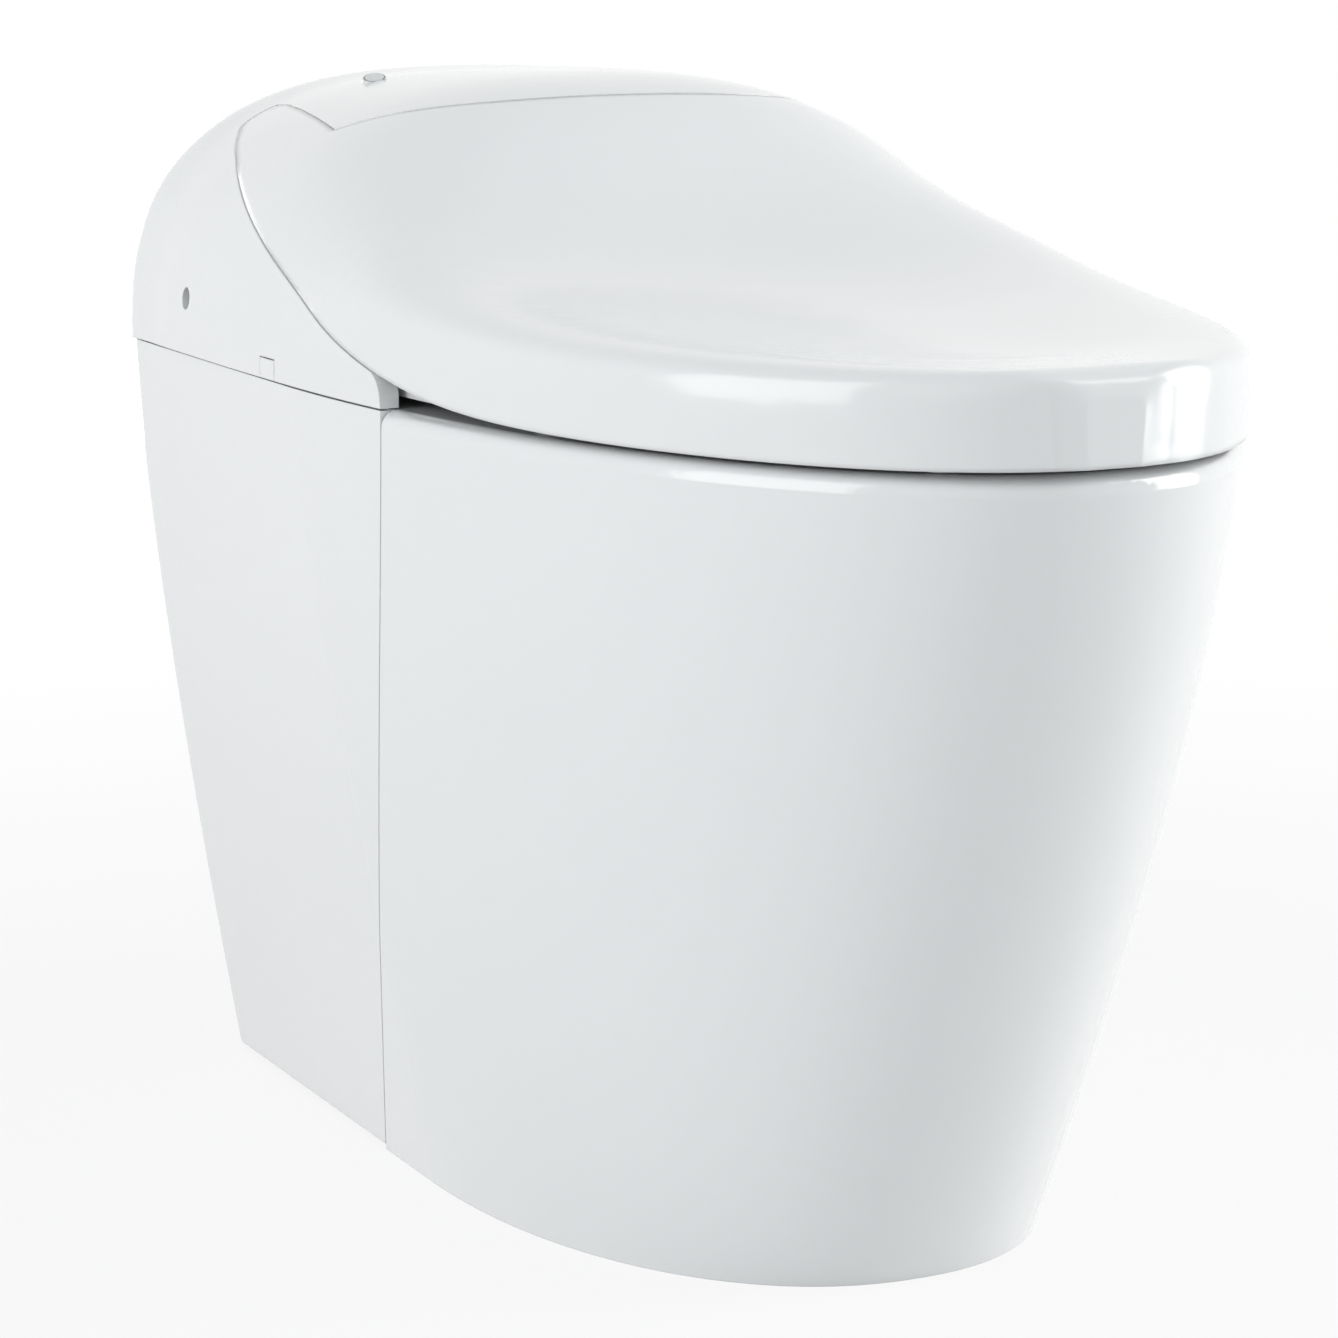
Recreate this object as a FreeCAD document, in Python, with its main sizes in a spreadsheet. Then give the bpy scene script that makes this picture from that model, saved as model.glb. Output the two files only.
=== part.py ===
import FreeCAD, Part
import Sketcher
import math
import os
from FreeCAD import Placement, Rotation, Vector

# Smart toilet: a china pedestal with side panels and a top unit that carries lid, seat and wash wand.
# Millimetres. The origin is on the floor under the middle of the overall box, +Z is up, -Y is the front.
# Places called from_wall are measured forwards from the plane of the unit's back.

document = FreeCAD.newDocument("smart_toilet")
sheet = document.addObject("Spreadsheet::Sheet", "size")

SIZES = (
    # Overall and the china's outline at the rim and at the floor
    ("depth", 690), ("rim_height", 396), ("rim_half_width", 194), ("rim_middle_from_wall", 256),
    ("rim_setback", 2), ("rim_front_from_wall", "=depth - rim_setback"), ("rim_rear_half_width", 187),
    ("rim_fullness", 2.14), ("floor_half_width", 141.6), ("floor_middle_from_wall", 300),
    ("floor_front_from_wall", 534), ("floor_rear_half_width", 133.7), ("floor_fullness", 2.19),
    ("taper_power", 1.35), ("rear_corner_radius", 8), ("rim_edge_radius", 8), ("china_wall", 14),
    ("deck_thickness", 18), ("china_rear_from_wall", 40), ("seam_top_from_wall", 356),
    ("seam_floor_from_wall", 232),
    # Bowl, trapway and outlet
    ("bowl_lip", 33), ("bowl_front_from_wall", "=rim_front_from_wall - bowl_lip"),
    ("bowl_rear_from_wall", 241), ("bowl_half_width", 133), ("bowl_depth", 240), ("bowl_wall", 11),
    ("china_joint", 0.1),
    ("sump_height", "=rim_height - bowl_depth"), ("sump_middle_from_wall", 355), ("sump_half_width", 40),
    ("sump_half_length", 48), ("trap_bore_radius", 26), ("trap_wall", 8), ("trap_bend_radius", 37),
    ("trap_entry_rise", 10), ("trap_entry_height", "=sump_height + trap_entry_rise"),
    ("trap_entry_reach", 15), ("trap_dip_drop", 6), ("trap_dip_height", "=sump_height - trap_dip_drop"),
    ("trap_dip_from_wall", 262), ("trap_weir_rise", 119),
    ("trap_weir_height", "=sump_height + trap_weir_rise"), ("trap_weir_from_wall", 214),
    ("outlet_from_wall", 150), ("horn_radius", 45), ("horn_length", 54), ("horn_floor_gap", 6),
    ("seal_wall", 12), ("seal_height", 16), ("seal_clearance", 0.2),
    # Side panels
    ("panel_thickness", 5), ("panel_clearance", 0.4), ("panel_floor_gap", 3), ("seam_gap", 0.8),
    ("panel_return_width", 60), ("panel_rear_from_wall", 8),
    # Upper body: tower and closed lid share one crowned form
    ("unit_seam_gap", 0.6), ("unit_overhang", 0.5), ("lid_overhang", 0.6),
    ("unit_rear_half_width", "=rim_rear_half_width + unit_overhang"),
    ("lid_half_width", "=rim_half_width + lid_overhang"), ("lid_flare", 3.4), ("crown_height", 143.1),
    ("rear_crown_drop", 4.5), ("crown_from_wall", 150), ("slope_length", 150), ("slope_power", 3.5),
    ("lid_front_height", 42.6), ("tower_fullness", 2.6), ("lid_added_fullness", 8), ("edge_radius", 9),
    ("scoop_depth", 9), ("scoop_behind_plate", 0), ("scoop_before_plate", 70), ("scoop_nose_run", 130),
    ("scoop_width_share", 0.93), ("lid_nose_radius", 12), ("nose_half_width", 13), ("shell_wall", 4),
    # Line between the lid's ears and the tower
    ("ear_slope", 0.34), ("ear_line_from_wall", 378.6), ("ear_line_blend", 41), ("ear_line_run_out", 40),
    ("lid_floor_gap", 2.5), ("lid_gap", 1), ("ledge_thickness", 3), ("ledge_inset", 6.5),
    ("ledge_half_width", "=unit_rear_half_width - ledge_inset"), ("ledge_rear_start_from_wall", 238),
    ("tower_front_radius", 14), ("ear_bay_from_wall", 208), ("ear_bay_gap", 0.5),
    ("plate_half_width", 136), ("plate_front_from_wall", 226.5), ("plate_corner_from_wall", 172),
    ("plate_rear_half_width", 116), ("plate_rear_from_wall", 61), ("plate_front_fullness", 3.8),
    ("ear_rib", 4), ("ear_rib_lead", 30), ("ear_rib_depth", 12),
    # Lid hinge
    ("lid_axis_from_wall", 51), ("lid_axis_lift", 118.3), ("lid_axis_height", "=rim_height + lid_axis_lift"),
    ("ear_tip_radius", 6.6), ("lid_pin_radius", 2.4), ("ear_bend_length", 45), ("lid_pin_inner", 86),
    ("hub_length", 16), ("hub_wall", 2), ("pin_clearance", 0.05), ("press_clearance", 0.02),
    ("hub_post_depth", 12),
    # Chassis and casing
    ("chassis_thickness", 6), ("chassis_top", "=rim_height + chassis_thickness"),
    ("chassis_front_from_wall", 228), ("chassis_rear_from_wall", 12), ("chassis_clearance", 0.3),
    ("casing_wall", 3), ("casing_gap", 0.5), ("casing_rear_from_wall", 40),
    # Seat
    ("seat_axis_from_wall", 240), ("seat_axis_lift", 34),
    ("seat_axis_height", "=rim_height + seat_axis_lift"),
    ("knuckle_radius", 9), ("knuckle_inner", 74), ("knuckle_width", 20), ("knuckle_web_reach", 12),
    ("lug_gap", 0.6), ("lug_width", 12), ("lug_overlap", 4), ("seat_pin_radius", 4), ("seat_pin_end_gap", 2),
    ("seat_side_setback", 16), ("seat_half_width", "=rim_half_width - seat_side_setback"),
    ("seat_front_setback", 12), ("seat_front_from_wall", "=rim_front_from_wall - seat_front_setback"),
    ("seat_rear_gap", 3), ("seat_rear_from_wall", "=seat_axis_from_wall + knuckle_radius + seat_rear_gap"),
    ("seat_middle_from_wall", 300), ("seat_hole_middle_from_wall", 438), ("seat_front_fullness", 2.1),
    ("seat_rear_fullness", 3.2), ("seat_lift", 5), ("seat_base_height", "=rim_height + seat_lift"),
    ("seat_base_thickness", 7), ("seat_split_height", "=seat_base_height + seat_base_thickness"),
    ("seat_ring_thickness", 16), ("seat_top_height", "=seat_split_height + seat_ring_thickness"),
    ("seat_edge_radius", 6), ("seat_side_width", 74), ("seat_front_width", 64), ("seat_rear_width", 60),
    ("seat_hole_half_width", "=seat_half_width - seat_side_width"),
    ("seat_hole_front_from_wall", "=seat_front_from_wall - seat_front_width"),
    ("seat_hole_rear_from_wall", "=seat_rear_from_wall + seat_rear_width"),
    # Liner and buffers
    ("liner_gap", 0.3), ("liner_thickness", 2), ("liner_half_width", 122), ("liner_half_length", 165),
    ("liner_from_wall", 440), ("buffer_radius", 7), ("buffer_gap", 0.3), ("side_buffer_across", 142),
    ("side_buffer_from_wall", 440), ("front_buffer_across", 60), ("buffer_front_setback", 26),
    ("seat_front_buffer_from_wall", "=seat_front_from_wall - buffer_front_setback"),
    ("lid_buffer_front_setback", 48),
    ("lid_front_buffer_from_wall", "=seat_front_from_wall - lid_buffer_front_setback"),
    # Wash wand
    ("wand_angle", 36), ("wand_exit_from_wall", 217), ("wand_exit_lift", 28),
    ("wand_exit_height", "=rim_height + wand_exit_lift"), ("wand_radius", 8), ("wand_length", 150),
    ("wand_tip_radius", 9), ("wand_tip_length", 20), ("wand_channel_gap", 3), ("wand_channel_reach", 150),
    ("wand_guide_start", 36), ("wand_guide_length", 84), ("wand_guide_wall", 4), ("wand_guide_gap", 0.3),
    ("guide_leg_width", 14), ("rack_width", 4), ("rack_height", 3), ("rack_sink", 0.5), ("rack_start", 14),
    ("rack_length", 96), ("spray_hole_radius", 1),
    # Small outer features
    ("sensor_from_wall", 85), ("sensor_across", 77), ("sensor_radius", 5.8), ("sensor_height", 4.5),
    ("sensor_gap", 0.25), ("screw_from_wall", 101.5), ("screw_lift", 29),
    ("screw_height", "=rim_height + screw_lift"), ("screw_hole_radius", 5.7), ("screw_head_gap", 0.1),
    ("screw_recess", 5), ("screw_shank_radius", 2), ("screw_post_depth", 20), ("screw_post_width", 10),
    ("screw_head_length", 6.5), ("screw_head_outer", "=unit_rear_half_width - screw_recess"),
    ("screw_post_across", "=screw_head_outer - screw_head_length"),
    ("button_from_wall", 223.5), ("button_width", 18.4), ("button_height", 10), ("button_gap", 0.6),
    ("button_depth", 6),
    # Dryer
    ("fan_x", -72), ("fan_from_wall", 138), ("fan_house_radius", 33), ("fan_house_height", 38),
    ("fan_wall", 2.5), ("impeller_side_gap", 3.5), ("impeller_gap", 2), ("impeller_top_gap", 5),
    ("impeller_radius", "=fan_house_radius - fan_wall - impeller_side_gap"),
    ("impeller_height", "=fan_house_height - 2 * fan_wall - impeller_gap - impeller_top_gap"),
    ("hub_radius", 6), ("blade_count", 12), ("blade_thickness", 1.2), ("blade_root", 1), ("shaft_radius", 2),
    ("fan_motor_radius", 15), ("fan_motor_height", 28), ("duct_x", -48), ("duct_across", 34),
    ("duct_height", 20), ("duct_front_from_wall", 214), ("flap_thickness", 2), ("flap_gap", 0.3),
    ("flap_pin_radius", 1.5),
    # Fixings and connections at the china's rear
    ("bracket_across", 70), ("bracket_width", 36), ("bracket_plate", 4), ("bracket_rise", 60),
    ("bracket_reach", 26), ("floor_hole_radius", 6), ("floor_hole_reach", 13),
    ("floor_hole_from_wall", "=china_rear_from_wall - floor_hole_reach"), ("bracket_screw_radius", 6),
    ("bracket_screw_head", 4), ("bracket_screw_height", 38), ("spigot_radius", 10.48),
    ("spigot_length", 34), ("spigot_bore", 7), ("spigot_end_wall", 4), ("gland_x", 50),
    ("gland_height", 300), ("gland_radius", 9), ("gland_length", 16), ("gland_bore", 3.5),
    ("gland_bore_depth", 12),
    # Clearances of the drives and the valve
    ("drive_gap", 2), ("lid_drive_cap", 5), ("seat_drive_cap", 6),
    ("valve_base_height", 150),
)

# Housings inside the unit: across, along and height, place of the middle, height of the base, corner radius
HOUSINGS = (
    ("water_heater", 56, 96, 76, 56, 130, "=chassis_top", 6),
    ("control_board", 44, 56, 14, -63, 57, "=chassis_top", 2),
    ("power_supply", 32, 96, 30, -147, 96, "=chassis_top", 3),
    ("deodoriser_cartridge", 32, 96, 34, 147, 96, "=chassis_top", 4),
    ("flush_valve", 60, 50, 40, 0, 52, "=chassis_top", 8),
    ("wand_motor", 15, 36, 64, -22, 150, "=chassis_top", 3),
    ("lid_drive", 30, 30, "=lid_axis_height + lid_drive_cap - chassis_top",
     "=lid_pin_inner - drive_gap - lid_drive_across / 2", "=lid_axis_from_wall", "=chassis_top", 5),
    ("seat_drive", 30, 20, "=seat_axis_height + seat_drive_cap - rim_height",
     "=knuckle_inner + knuckle_width + lug_gap + lug_width + drive_gap + seat_drive_across / 2",
     "=seat_axis_from_wall", "=rim_height", 5),
    ("inlet_valve", 44, 26, 44, -20, "=china_rear_from_wall - inlet_valve_along / 2",
     "=valve_base_height", 6),
)
PARTS_OF_HOUSING = ("across", "along", "height", "middle", "from_wall", "base", "corner")
SIZES += tuple((housing[0] + "_" + word, value)
               for housing in HOUSINGS for word, value in zip(PARTS_OF_HOUSING, housing[1:]))

for row, (alias, value) in enumerate(SIZES, start=1):
    sheet.set("A%d" % row, alias)
    sheet.set("B%d" % row, str(value))
    sheet.setAlias("B%d" % row, alias)
document.recompute()

subparts = []


def size(alias):
    return float(sheet.get(alias))


def from_wall(distance):
    return size("depth") / 2 - distance


def mix(start, end, share):
    return start + (end - start) * share


def subpart(node, shape):
    """A sub-part whose form is worked out in code."""
    item = document.addObject("Part::Feature", node)
    item.Label = node
    item.Shape = shape
    item.Placement = Placement()
    subparts.append(item)
    return item


def box_between(low, high):
    span = high - low
    return Part.makeBox(span.x, span.y, span.z, low)


def smooth_edge(points):
    """A smooth curve through points, with evenly spaced parameters so that sections match."""
    curve = Part.BSplineCurve()
    steps = [index / (len(points) - 1) for index in range(len(points))]
    curve.interpolate(Points=points, Parameters=steps)
    return curve.toShape()


def line_edge(start, end):
    return Part.LineSegment(start, end).toShape()


def rounded_share(angle, fullness):
    """Point of the unit superellipse in the direction of angle."""
    across = abs(math.cos(angle))
    along = abs(math.sin(angle))
    reach = (across ** fullness + along ** fullness) ** (-1 / fullness)
    return reach * math.cos(angle), reach * along


def profile_prism(wire, span):
    """Solid between x = -span and x = span with a closed outline in the YZ plane."""
    face = Part.Face(wire)
    face.translate(Vector(-span, 0, 0))
    return face.extrude(Vector(2 * span, 0, 0))


far = size("depth")


# Pedestal outline

def base_wire(height, inset):
    """Plan outline of the pedestal at a height, drawn in by an inset."""
    share = max(0, 1 - height / size("rim_height")) ** size("taper_power")
    half = mix(size("rim_half_width"), size("floor_half_width"), share) - inset
    rear_half = mix(size("rim_rear_half_width"), size("floor_rear_half_width"), share) - inset
    middle = from_wall(mix(size("rim_middle_from_wall"), size("floor_middle_from_wall"), share))
    front = from_wall(mix(size("rim_front_from_wall"), size("floor_front_from_wall"), share) - inset)
    fullness = mix(size("rim_fullness"), size("floor_fullness"), share)
    rear = from_wall(size("panel_rear_from_wall") + inset)
    radius = size("rear_corner_radius")
    points = []
    for step in range(25):
        across, along = rounded_share(math.pi * step / 24, fullness)
        points.append(Vector(half * across, middle - (middle - front) * along, height))
    edges = [smooth_edge(points)]
    lean = (half - rear_half) / (rear - middle)
    left_side = Vector(-rear_half - lean * radius, rear - radius, height)
    left_back = Vector(-rear_half + radius, rear, height)
    right_back = Vector(rear_half - radius, rear, height)
    right_side = Vector(rear_half + lean * radius, rear - radius, height)
    bulge = radius * (1 - math.sqrt(0.5))
    left_middle = Vector(-rear_half + bulge, rear - bulge, height)
    right_middle = Vector(rear_half - bulge, rear - bulge, height)
    edges.append(line_edge(points[-1], left_side))
    edges.append(Part.Arc(left_side, left_middle, left_back).toShape())
    edges.append(line_edge(left_back, right_back))
    edges.append(Part.Arc(right_back, right_middle, right_side).toShape())
    edges.append(line_edge(right_side, points[0]))
    return Part.Wire(edges)


def pedestal_form(inset, top):
    """Tapered solid of the pedestal from the floor to a height."""
    levels = [top * step / 5 for step in range(6)]
    return Part.makeLoft([base_wire(level, inset) for level in levels], True, False)


def seam_point(height, shift):
    share = max(0, 1 - height / size("rim_height")) ** size("taper_power")
    distance = mix(size("seam_top_from_wall"), size("seam_floor_from_wall"), share)
    return Vector(0, from_wall(distance) + shift, height)


def front_of_seam(shift):
    """Everything in front of the leaning seam, with the seam moved back by shift."""
    top = size("rim_height")
    seam = smooth_edge([seam_point(top * step / 6, shift) for step in range(7)])
    low = seam_point(0, shift)
    high = seam_point(top, shift)
    wire = Part.Wire([
        seam,
        line_edge(high, Vector(0, -far, top)),
        line_edge(Vector(0, -far, top), Vector(0, -far, 0)),
        line_edge(Vector(0, -far, 0), low),
    ])
    return profile_prism(wire, far)


# Bowl, trapway and outlet, set into the pedestal's deck

def bowl_form(grow, top):
    """Inside of the bowl, or its outside when it is grown by the wall."""
    rim = size("rim_height")
    front = from_wall(size("bowl_front_from_wall"))
    rear = from_wall(size("bowl_rear_from_wall"))
    sump = from_wall(size("sump_middle_from_wall"))
    depth = size("bowl_depth")
    wires = []
    for share, width_share in ((0, 1), (0.18, 0.985), (0.45, 0.82), (0.72, 0.5), (0.9, 0.13), (1, 0)):
        half_width = mix(size("sump_half_width"), size("bowl_half_width"), width_share) + grow
        half_length = mix(size("sump_half_length"), (rear - front) / 2, width_share) + grow
        middle = mix(sump, (rear + front) / 2, width_share)
        height = top if share == 0 else rim - depth * share
        if share == 1:
            height -= grow
        points = []
        for step in range(32):
            angle = 2 * math.pi * step / 32
            along = middle + half_length * math.sin(angle)
            points.append(Vector(half_width * math.cos(angle), along, height))
        curve = Part.BSplineCurve()
        curve.interpolate(Points=points, PeriodicFlag=True)
        wires.append(Part.Wire([curve.toShape()]))
    return Part.makeLoft(wires, True, False)


def bent_path(points, radius):
    """Straight runs joined by tangent arcs."""
    edges = []
    start = points[0]
    for before, corner, after in zip(points, points[1:], points[2:]):
        back = (before - corner).normalize()
        ahead = (after - corner).normalize()
        half_turn = math.acos(max(-1, min(1, -back.dot(ahead)))) / 2
        reach = radius * math.tan(half_turn)
        first = corner + back * reach
        last = corner + ahead * reach
        bisector = (back + ahead).normalize()
        middle = corner + bisector * (radius / math.cos(half_turn) - radius)
        edges.append(line_edge(start, first))
        edges.append(Part.Arc(first, middle, last).toShape())
        start = last
    edges.append(line_edge(start, points[-1]))
    return Part.Wire(edges)


outlet_y = from_wall(size("outlet_from_wall"))
trap_points = [
    Vector(0, from_wall(size("sump_middle_from_wall") + size("trap_entry_reach")), size("trap_entry_height")),
    Vector(0, from_wall(size("trap_dip_from_wall")), size("trap_dip_height")),
    Vector(0, from_wall(size("trap_weir_from_wall")), size("trap_weir_height")),
    Vector(0, outlet_y, size("trap_weir_height")),
    Vector(0, outlet_y, size("horn_floor_gap")),
]


def trap_tube(radius):
    path = bent_path(trap_points, size("trap_bend_radius"))
    direction = trap_points[1] - trap_points[0]
    ring = Part.Wire([Part.Circle(trap_points[0], direction, radius).toShape()])
    return path.makePipeShell([ring], True, False)


rim = size("rim_height")
skirt = pedestal_form(0, rim)
inset_skirt = pedestal_form(size("panel_thickness") + size("panel_clearance"), rim)
front_block = skirt.common(front_of_seam(0))
rim_front = from_wall(size("rim_front_from_wall"))
top_edges = [edge for edge in front_block.Edges
             if edge.BoundBox.ZMin > rim - 0.01 and edge.BoundBox.YMin < rim_front + 1]
front_block = front_block.makeFillet(size("rim_edge_radius"), top_edges)
rear_block = inset_skirt.cut(front_of_seam(0))
china_rear = from_wall(size("china_rear_from_wall"))
behind_china = box_between(Vector(-far, china_rear, -1), Vector(far, far, far))
rear_block = rear_block.cut(behind_china)
cavity_inset = size("panel_thickness") + size("panel_clearance") + size("china_wall")
cavity = pedestal_form(cavity_inset, rim - size("deck_thickness"))
cavity = cavity.cut(box_between(Vector(-far, china_rear - size("china_wall"), -1), Vector(far, far, far)))
bowl_inside = bowl_form(0, rim + 1)
bowl_outside = bowl_form(size("bowl_wall"), rim)
bowl_room = bowl_form(size("bowl_wall") + size("china_joint"), rim + 1)
trap_outside = trap_tube(size("trap_bore_radius") + size("trap_wall"))
trap_bore = trap_tube(size("trap_bore_radius"))
horn = Part.makeCylinder(size("horn_radius"), size("horn_length"), trap_points[-1])

wand_angle = math.radians(size("wand_angle"))
wand_exit = Vector(0, from_wall(size("wand_exit_from_wall")), size("wand_exit_height"))
wand_back = Vector(0, math.cos(wand_angle), math.sin(wand_angle))
channel_radius = size("wand_tip_radius") + size("wand_channel_gap")
channel_reach = wand_back * size("wand_channel_reach")
channel = Part.makeCylinder(channel_radius, 2 * channel_reach.Length, wand_exit - channel_reach, wand_back)

china = front_block.fuse(rear_block).cut(cavity).cut(bowl_room).cut(channel)
subpart("pedestal", china.removeSplitter())
trap_room = trap_tube(size("trap_bore_radius") + size("trap_wall") + size("china_joint"))
subpart("bowl", bowl_outside.cut(bowl_inside).cut(trap_room).cut(channel))
subpart("trapway", trap_outside.fuse(horn).cut(trap_bore).cut(bowl_inside))

# Rubber ring between the outlet horn and the floor flange

seal_bore = size("horn_radius") + size("seal_clearance")
seal_base = Vector(0, outlet_y, 0)
seal = Part.makeCylinder(seal_bore + size("seal_wall"), size("seal_height"), seal_base)
subpart("outlet_seal", seal.cut(Part.makeCylinder(seal_bore, size("seal_height"), seal_base)))

# Side panels: thin covers behind the seam, each with a return at its rear edge

panel_skin = skirt.cut(pedestal_form(size("panel_thickness"), rim)).cut(front_of_seam(size("seam_gap")))
panel_top = rim - size("seam_gap") / 2
return_edge = size("floor_rear_half_width") - size("panel_return_width")
for side, direction in (("right", -1), ("left", 1)):
    edges = sorted((direction * return_edge, direction * far))
    limits = box_between(Vector(edges[0], -far, size("panel_floor_gap")), Vector(edges[1], far, panel_top))
    subpart("side_panel_" + side, panel_skin.common(limits))

# Upper body: one crowned form, cut into the tower cover and the lid

unit_base = rim + size("unit_seam_gap")


def falloff(distance):
    """Share of the crown that is left at a distance from the wall."""
    ahead = max(0, distance - size("crown_from_wall")) / size("slope_length")
    return 1 / (1 + ahead ** size("slope_power"))


def ease(value, start, end):
    share = max(0, min(1, (value - start) / (end - start)))
    return share * share * (3 - 2 * share)


def quarter_drop(distance, radius):
    """Fall of a quarter round at a distance inside its edge."""
    if distance >= radius:
        return 0
    return radius - math.sqrt(radius ** 2 - (radius - distance) ** 2)


def unit_half_width(distance):
    middle = size("rim_middle_from_wall")
    if distance <= middle:
        swell = math.sin(math.pi / 2 * distance / middle)
        return mix(size("unit_rear_half_width"), size("lid_half_width"), swell)
    share = min(1, (distance - middle) / (size("depth") - middle))
    fullness = size("rim_fullness")
    return size("lid_half_width") * (1 - share ** fullness) ** (1 / fullness)


def unit_section(distance, inset):
    """Closed arch across the upper body at a distance from the wall."""
    crown = falloff(distance)
    height = size("lid_front_height") + (size("crown_height") - size("lid_front_height")) * crown
    height -= size("rear_crown_drop") * (1 - ease(distance, 0, size("crown_from_wall")))
    rounding = quarter_drop(distance, size("edge_radius"))
    rounding_front = quarter_drop(size("depth") - distance, size("lid_nose_radius"))
    height -= rounding + rounding_front + inset
    half = unit_half_width(distance) - rounding - inset
    half = max(half, size("nose_half_width") - inset)
    fullness = size("tower_fullness") + size("lid_added_fullness") * (1 - crown) ** 3
    flare = size("lid_flare") * (1 - crown) ** 2
    scoop = size("scoop_depth")
    scoop_start = size("plate_front_from_wall") - size("scoop_behind_plate")
    scoop_full = size("plate_front_from_wall") + size("scoop_before_plate")
    scoop *= ease(distance, scoop_start, scoop_full)
    scoop *= 1 - ease(distance, size("depth") - size("scoop_nose_run"), size("depth"))
    y = from_wall(distance)
    points = []
    for step in range(33):
        across, along = rounded_share(math.pi * step / 32, fullness)
        dip = scoop * max(0, 1 - (across / size("scoop_width_share")) ** 2) ** 2
        spread = half + flare * min(1, along * height / size("lid_front_height"))
        points.append(Vector(spread * across, y, unit_base + along * height - dip))
    return Part.Wire([smooth_edge(points), line_edge(points[-1], points[0])])


# Places of the sections along the slope and from there to the nose, closer together where the form turns
SLOPE_SHARES = (0.2, 0.37, 0.53, 0.72, 0.93, 1.17, 1.43)
NOSE_SHARES = (0.15, 0.35, 0.55, 0.7, 0.8, 0.88, 0.93, 0.965, 0.985, 0.994, 1)


def unit_form(inset):
    """Solid of the upper body, drawn in by an inset all round and open to below."""
    nose = size("depth")
    edge = size("edge_radius")
    crown = size("crown_from_wall")
    stations = [edge * share for share in (0, 0.17, 0.45)]
    stations += [mix(edge, crown, share) for share in (0, 0.15, 0.43, 0.72, 1)]
    stations += [crown + size("slope_length") * share for share in SLOPE_SHARES]
    stations += [mix(stations[-1], nose, share) for share in NOSE_SHARES]
    scaled = [mix(inset, nose - inset, station / nose) for station in stations]
    return Part.makeLoft([unit_section(station, inset) for station in scaled], True, False)


lid_floor = rim + size("lid_floor_gap")
lid_axis = Vector(0, from_wall(size("lid_axis_from_wall")), size("lid_axis_height"))


def ear_line(y, drop):
    """Height of the lid's lower edge: level at the front, rising behind along the ears."""
    blend = size("ear_line_blend")
    start = from_wall(size("ear_line_from_wall"))
    return lid_floor + size("ear_slope") * blend * math.log(1 + math.exp((y - start) / blend)) - drop


def above_ear_line(drop, tip_radius):
    """Everything over the ear line and in front of the lid axis, with the round ear tip."""
    bend = lid_axis.y - size("ear_bend_length")
    front = from_wall(size("depth") + size("ear_line_run_out"))
    steps = 16
    places = [mix(front, bend, step / steps) for step in range(steps + 1)]
    points = [Vector(0, y, ear_line(y, drop)) for y in places]
    to_axis = lid_axis - points[-1]
    rise = math.atan2(to_axis.z, to_axis.y) - math.asin(tip_radius / to_axis.Length)
    touch = lid_axis + Vector(0, math.sin(rise), -math.cos(rise)) * tip_radius
    high_rear = Vector(0, lid_axis.y, far)
    high_front = Vector(0, front, far)
    wire = Part.Wire([
        smooth_edge(points),
        line_edge(points[-1], touch),
        line_edge(touch, lid_axis),
        line_edge(lid_axis, high_rear),
        line_edge(high_rear, high_front),
        line_edge(high_front, points[0]),
    ])
    tip = Part.makeCylinder(tip_radius, 2 * far, Vector(-far, lid_axis.y, lid_axis.z), Vector(1, 0, 0))
    return profile_prism(wire, far).fuse(tip)


def plate_prism(shrink):
    """Plan shape of the tower's top plate: sides that draw in to the rear and a bowed front edge."""
    half = size("plate_half_width") - shrink
    rear_half = size("plate_rear_half_width") - shrink
    corner = from_wall(size("plate_corner_from_wall")) + shrink
    front = from_wall(size("plate_front_from_wall")) + shrink
    narrow = from_wall(size("plate_rear_from_wall"))
    points = []
    for step in range(25):
        share = 1 - step / 12
        points.append(Vector(half * share, mix(front, corner, abs(share) ** size("plate_front_fullness")), 0))
    corners = [points[-1], Vector(-rear_half, narrow, 0), Vector(-rear_half, far, 0),
               Vector(rear_half, far, 0), Vector(rear_half, narrow, 0), points[0]]
    sides = [line_edge(start, end) for start, end in zip(corners, corners[1:])]
    wire = Part.Wire([smooth_edge(points)] + sides)
    return Part.Face(wire).extrude(Vector(0, 0, far))


def both_sides(inner, outer, y_low, y_high, z_low, z_high):
    right = box_between(Vector(-outer, y_low, z_low), Vector(-inner, y_high, z_high))
    left = box_between(Vector(inner, y_low, z_low), Vector(outer, y_high, z_high))
    return right.fuse(left)


def before_tower(back):
    """Everything in front of the tower's front edge, whose upper corner is round, moved back."""
    radius = size("tower_front_radius")
    middle_y = from_wall(size("seam_top_from_wall") - radius)
    middle = Vector(0, middle_y, ear_line(middle_y, size("lid_gap")) - radius)
    reach = radius - back
    slant = reach * math.sqrt(0.5)
    low = middle - Vector(0, reach, 0)
    high = middle + Vector(0, 0, reach)
    corners = [high, Vector(0, middle_y, far), Vector(0, -far, far), Vector(0, -far, -1),
               Vector(0, low.y, -1), low]
    sides = [line_edge(start, end) for start, end in zip(corners, corners[1:])]
    corner = Part.Arc(low, middle + Vector(0, -slant, slant), high).toShape()
    return profile_prism(Part.Wire(sides + [corner]), far)


wall = size("shell_wall")
gap = size("lid_gap")
outer_form = unit_form(0)
inner_form = unit_form(wall)
outer_skin = outer_form.cut(inner_form)
lid_zone = above_ear_line(0, size("ear_tip_radius"))
lid_clear_zone = above_ear_line(gap, size("ear_tip_radius") + gap)
plate = plate_prism(0)
plate_clear = plate_prism(-gap)
rear_end = from_wall(0)
tower_front = from_wall(size("seam_top_from_wall"))

# Lid: shell, ribs along the inner side of its ears, holes for the hinge pins

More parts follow.
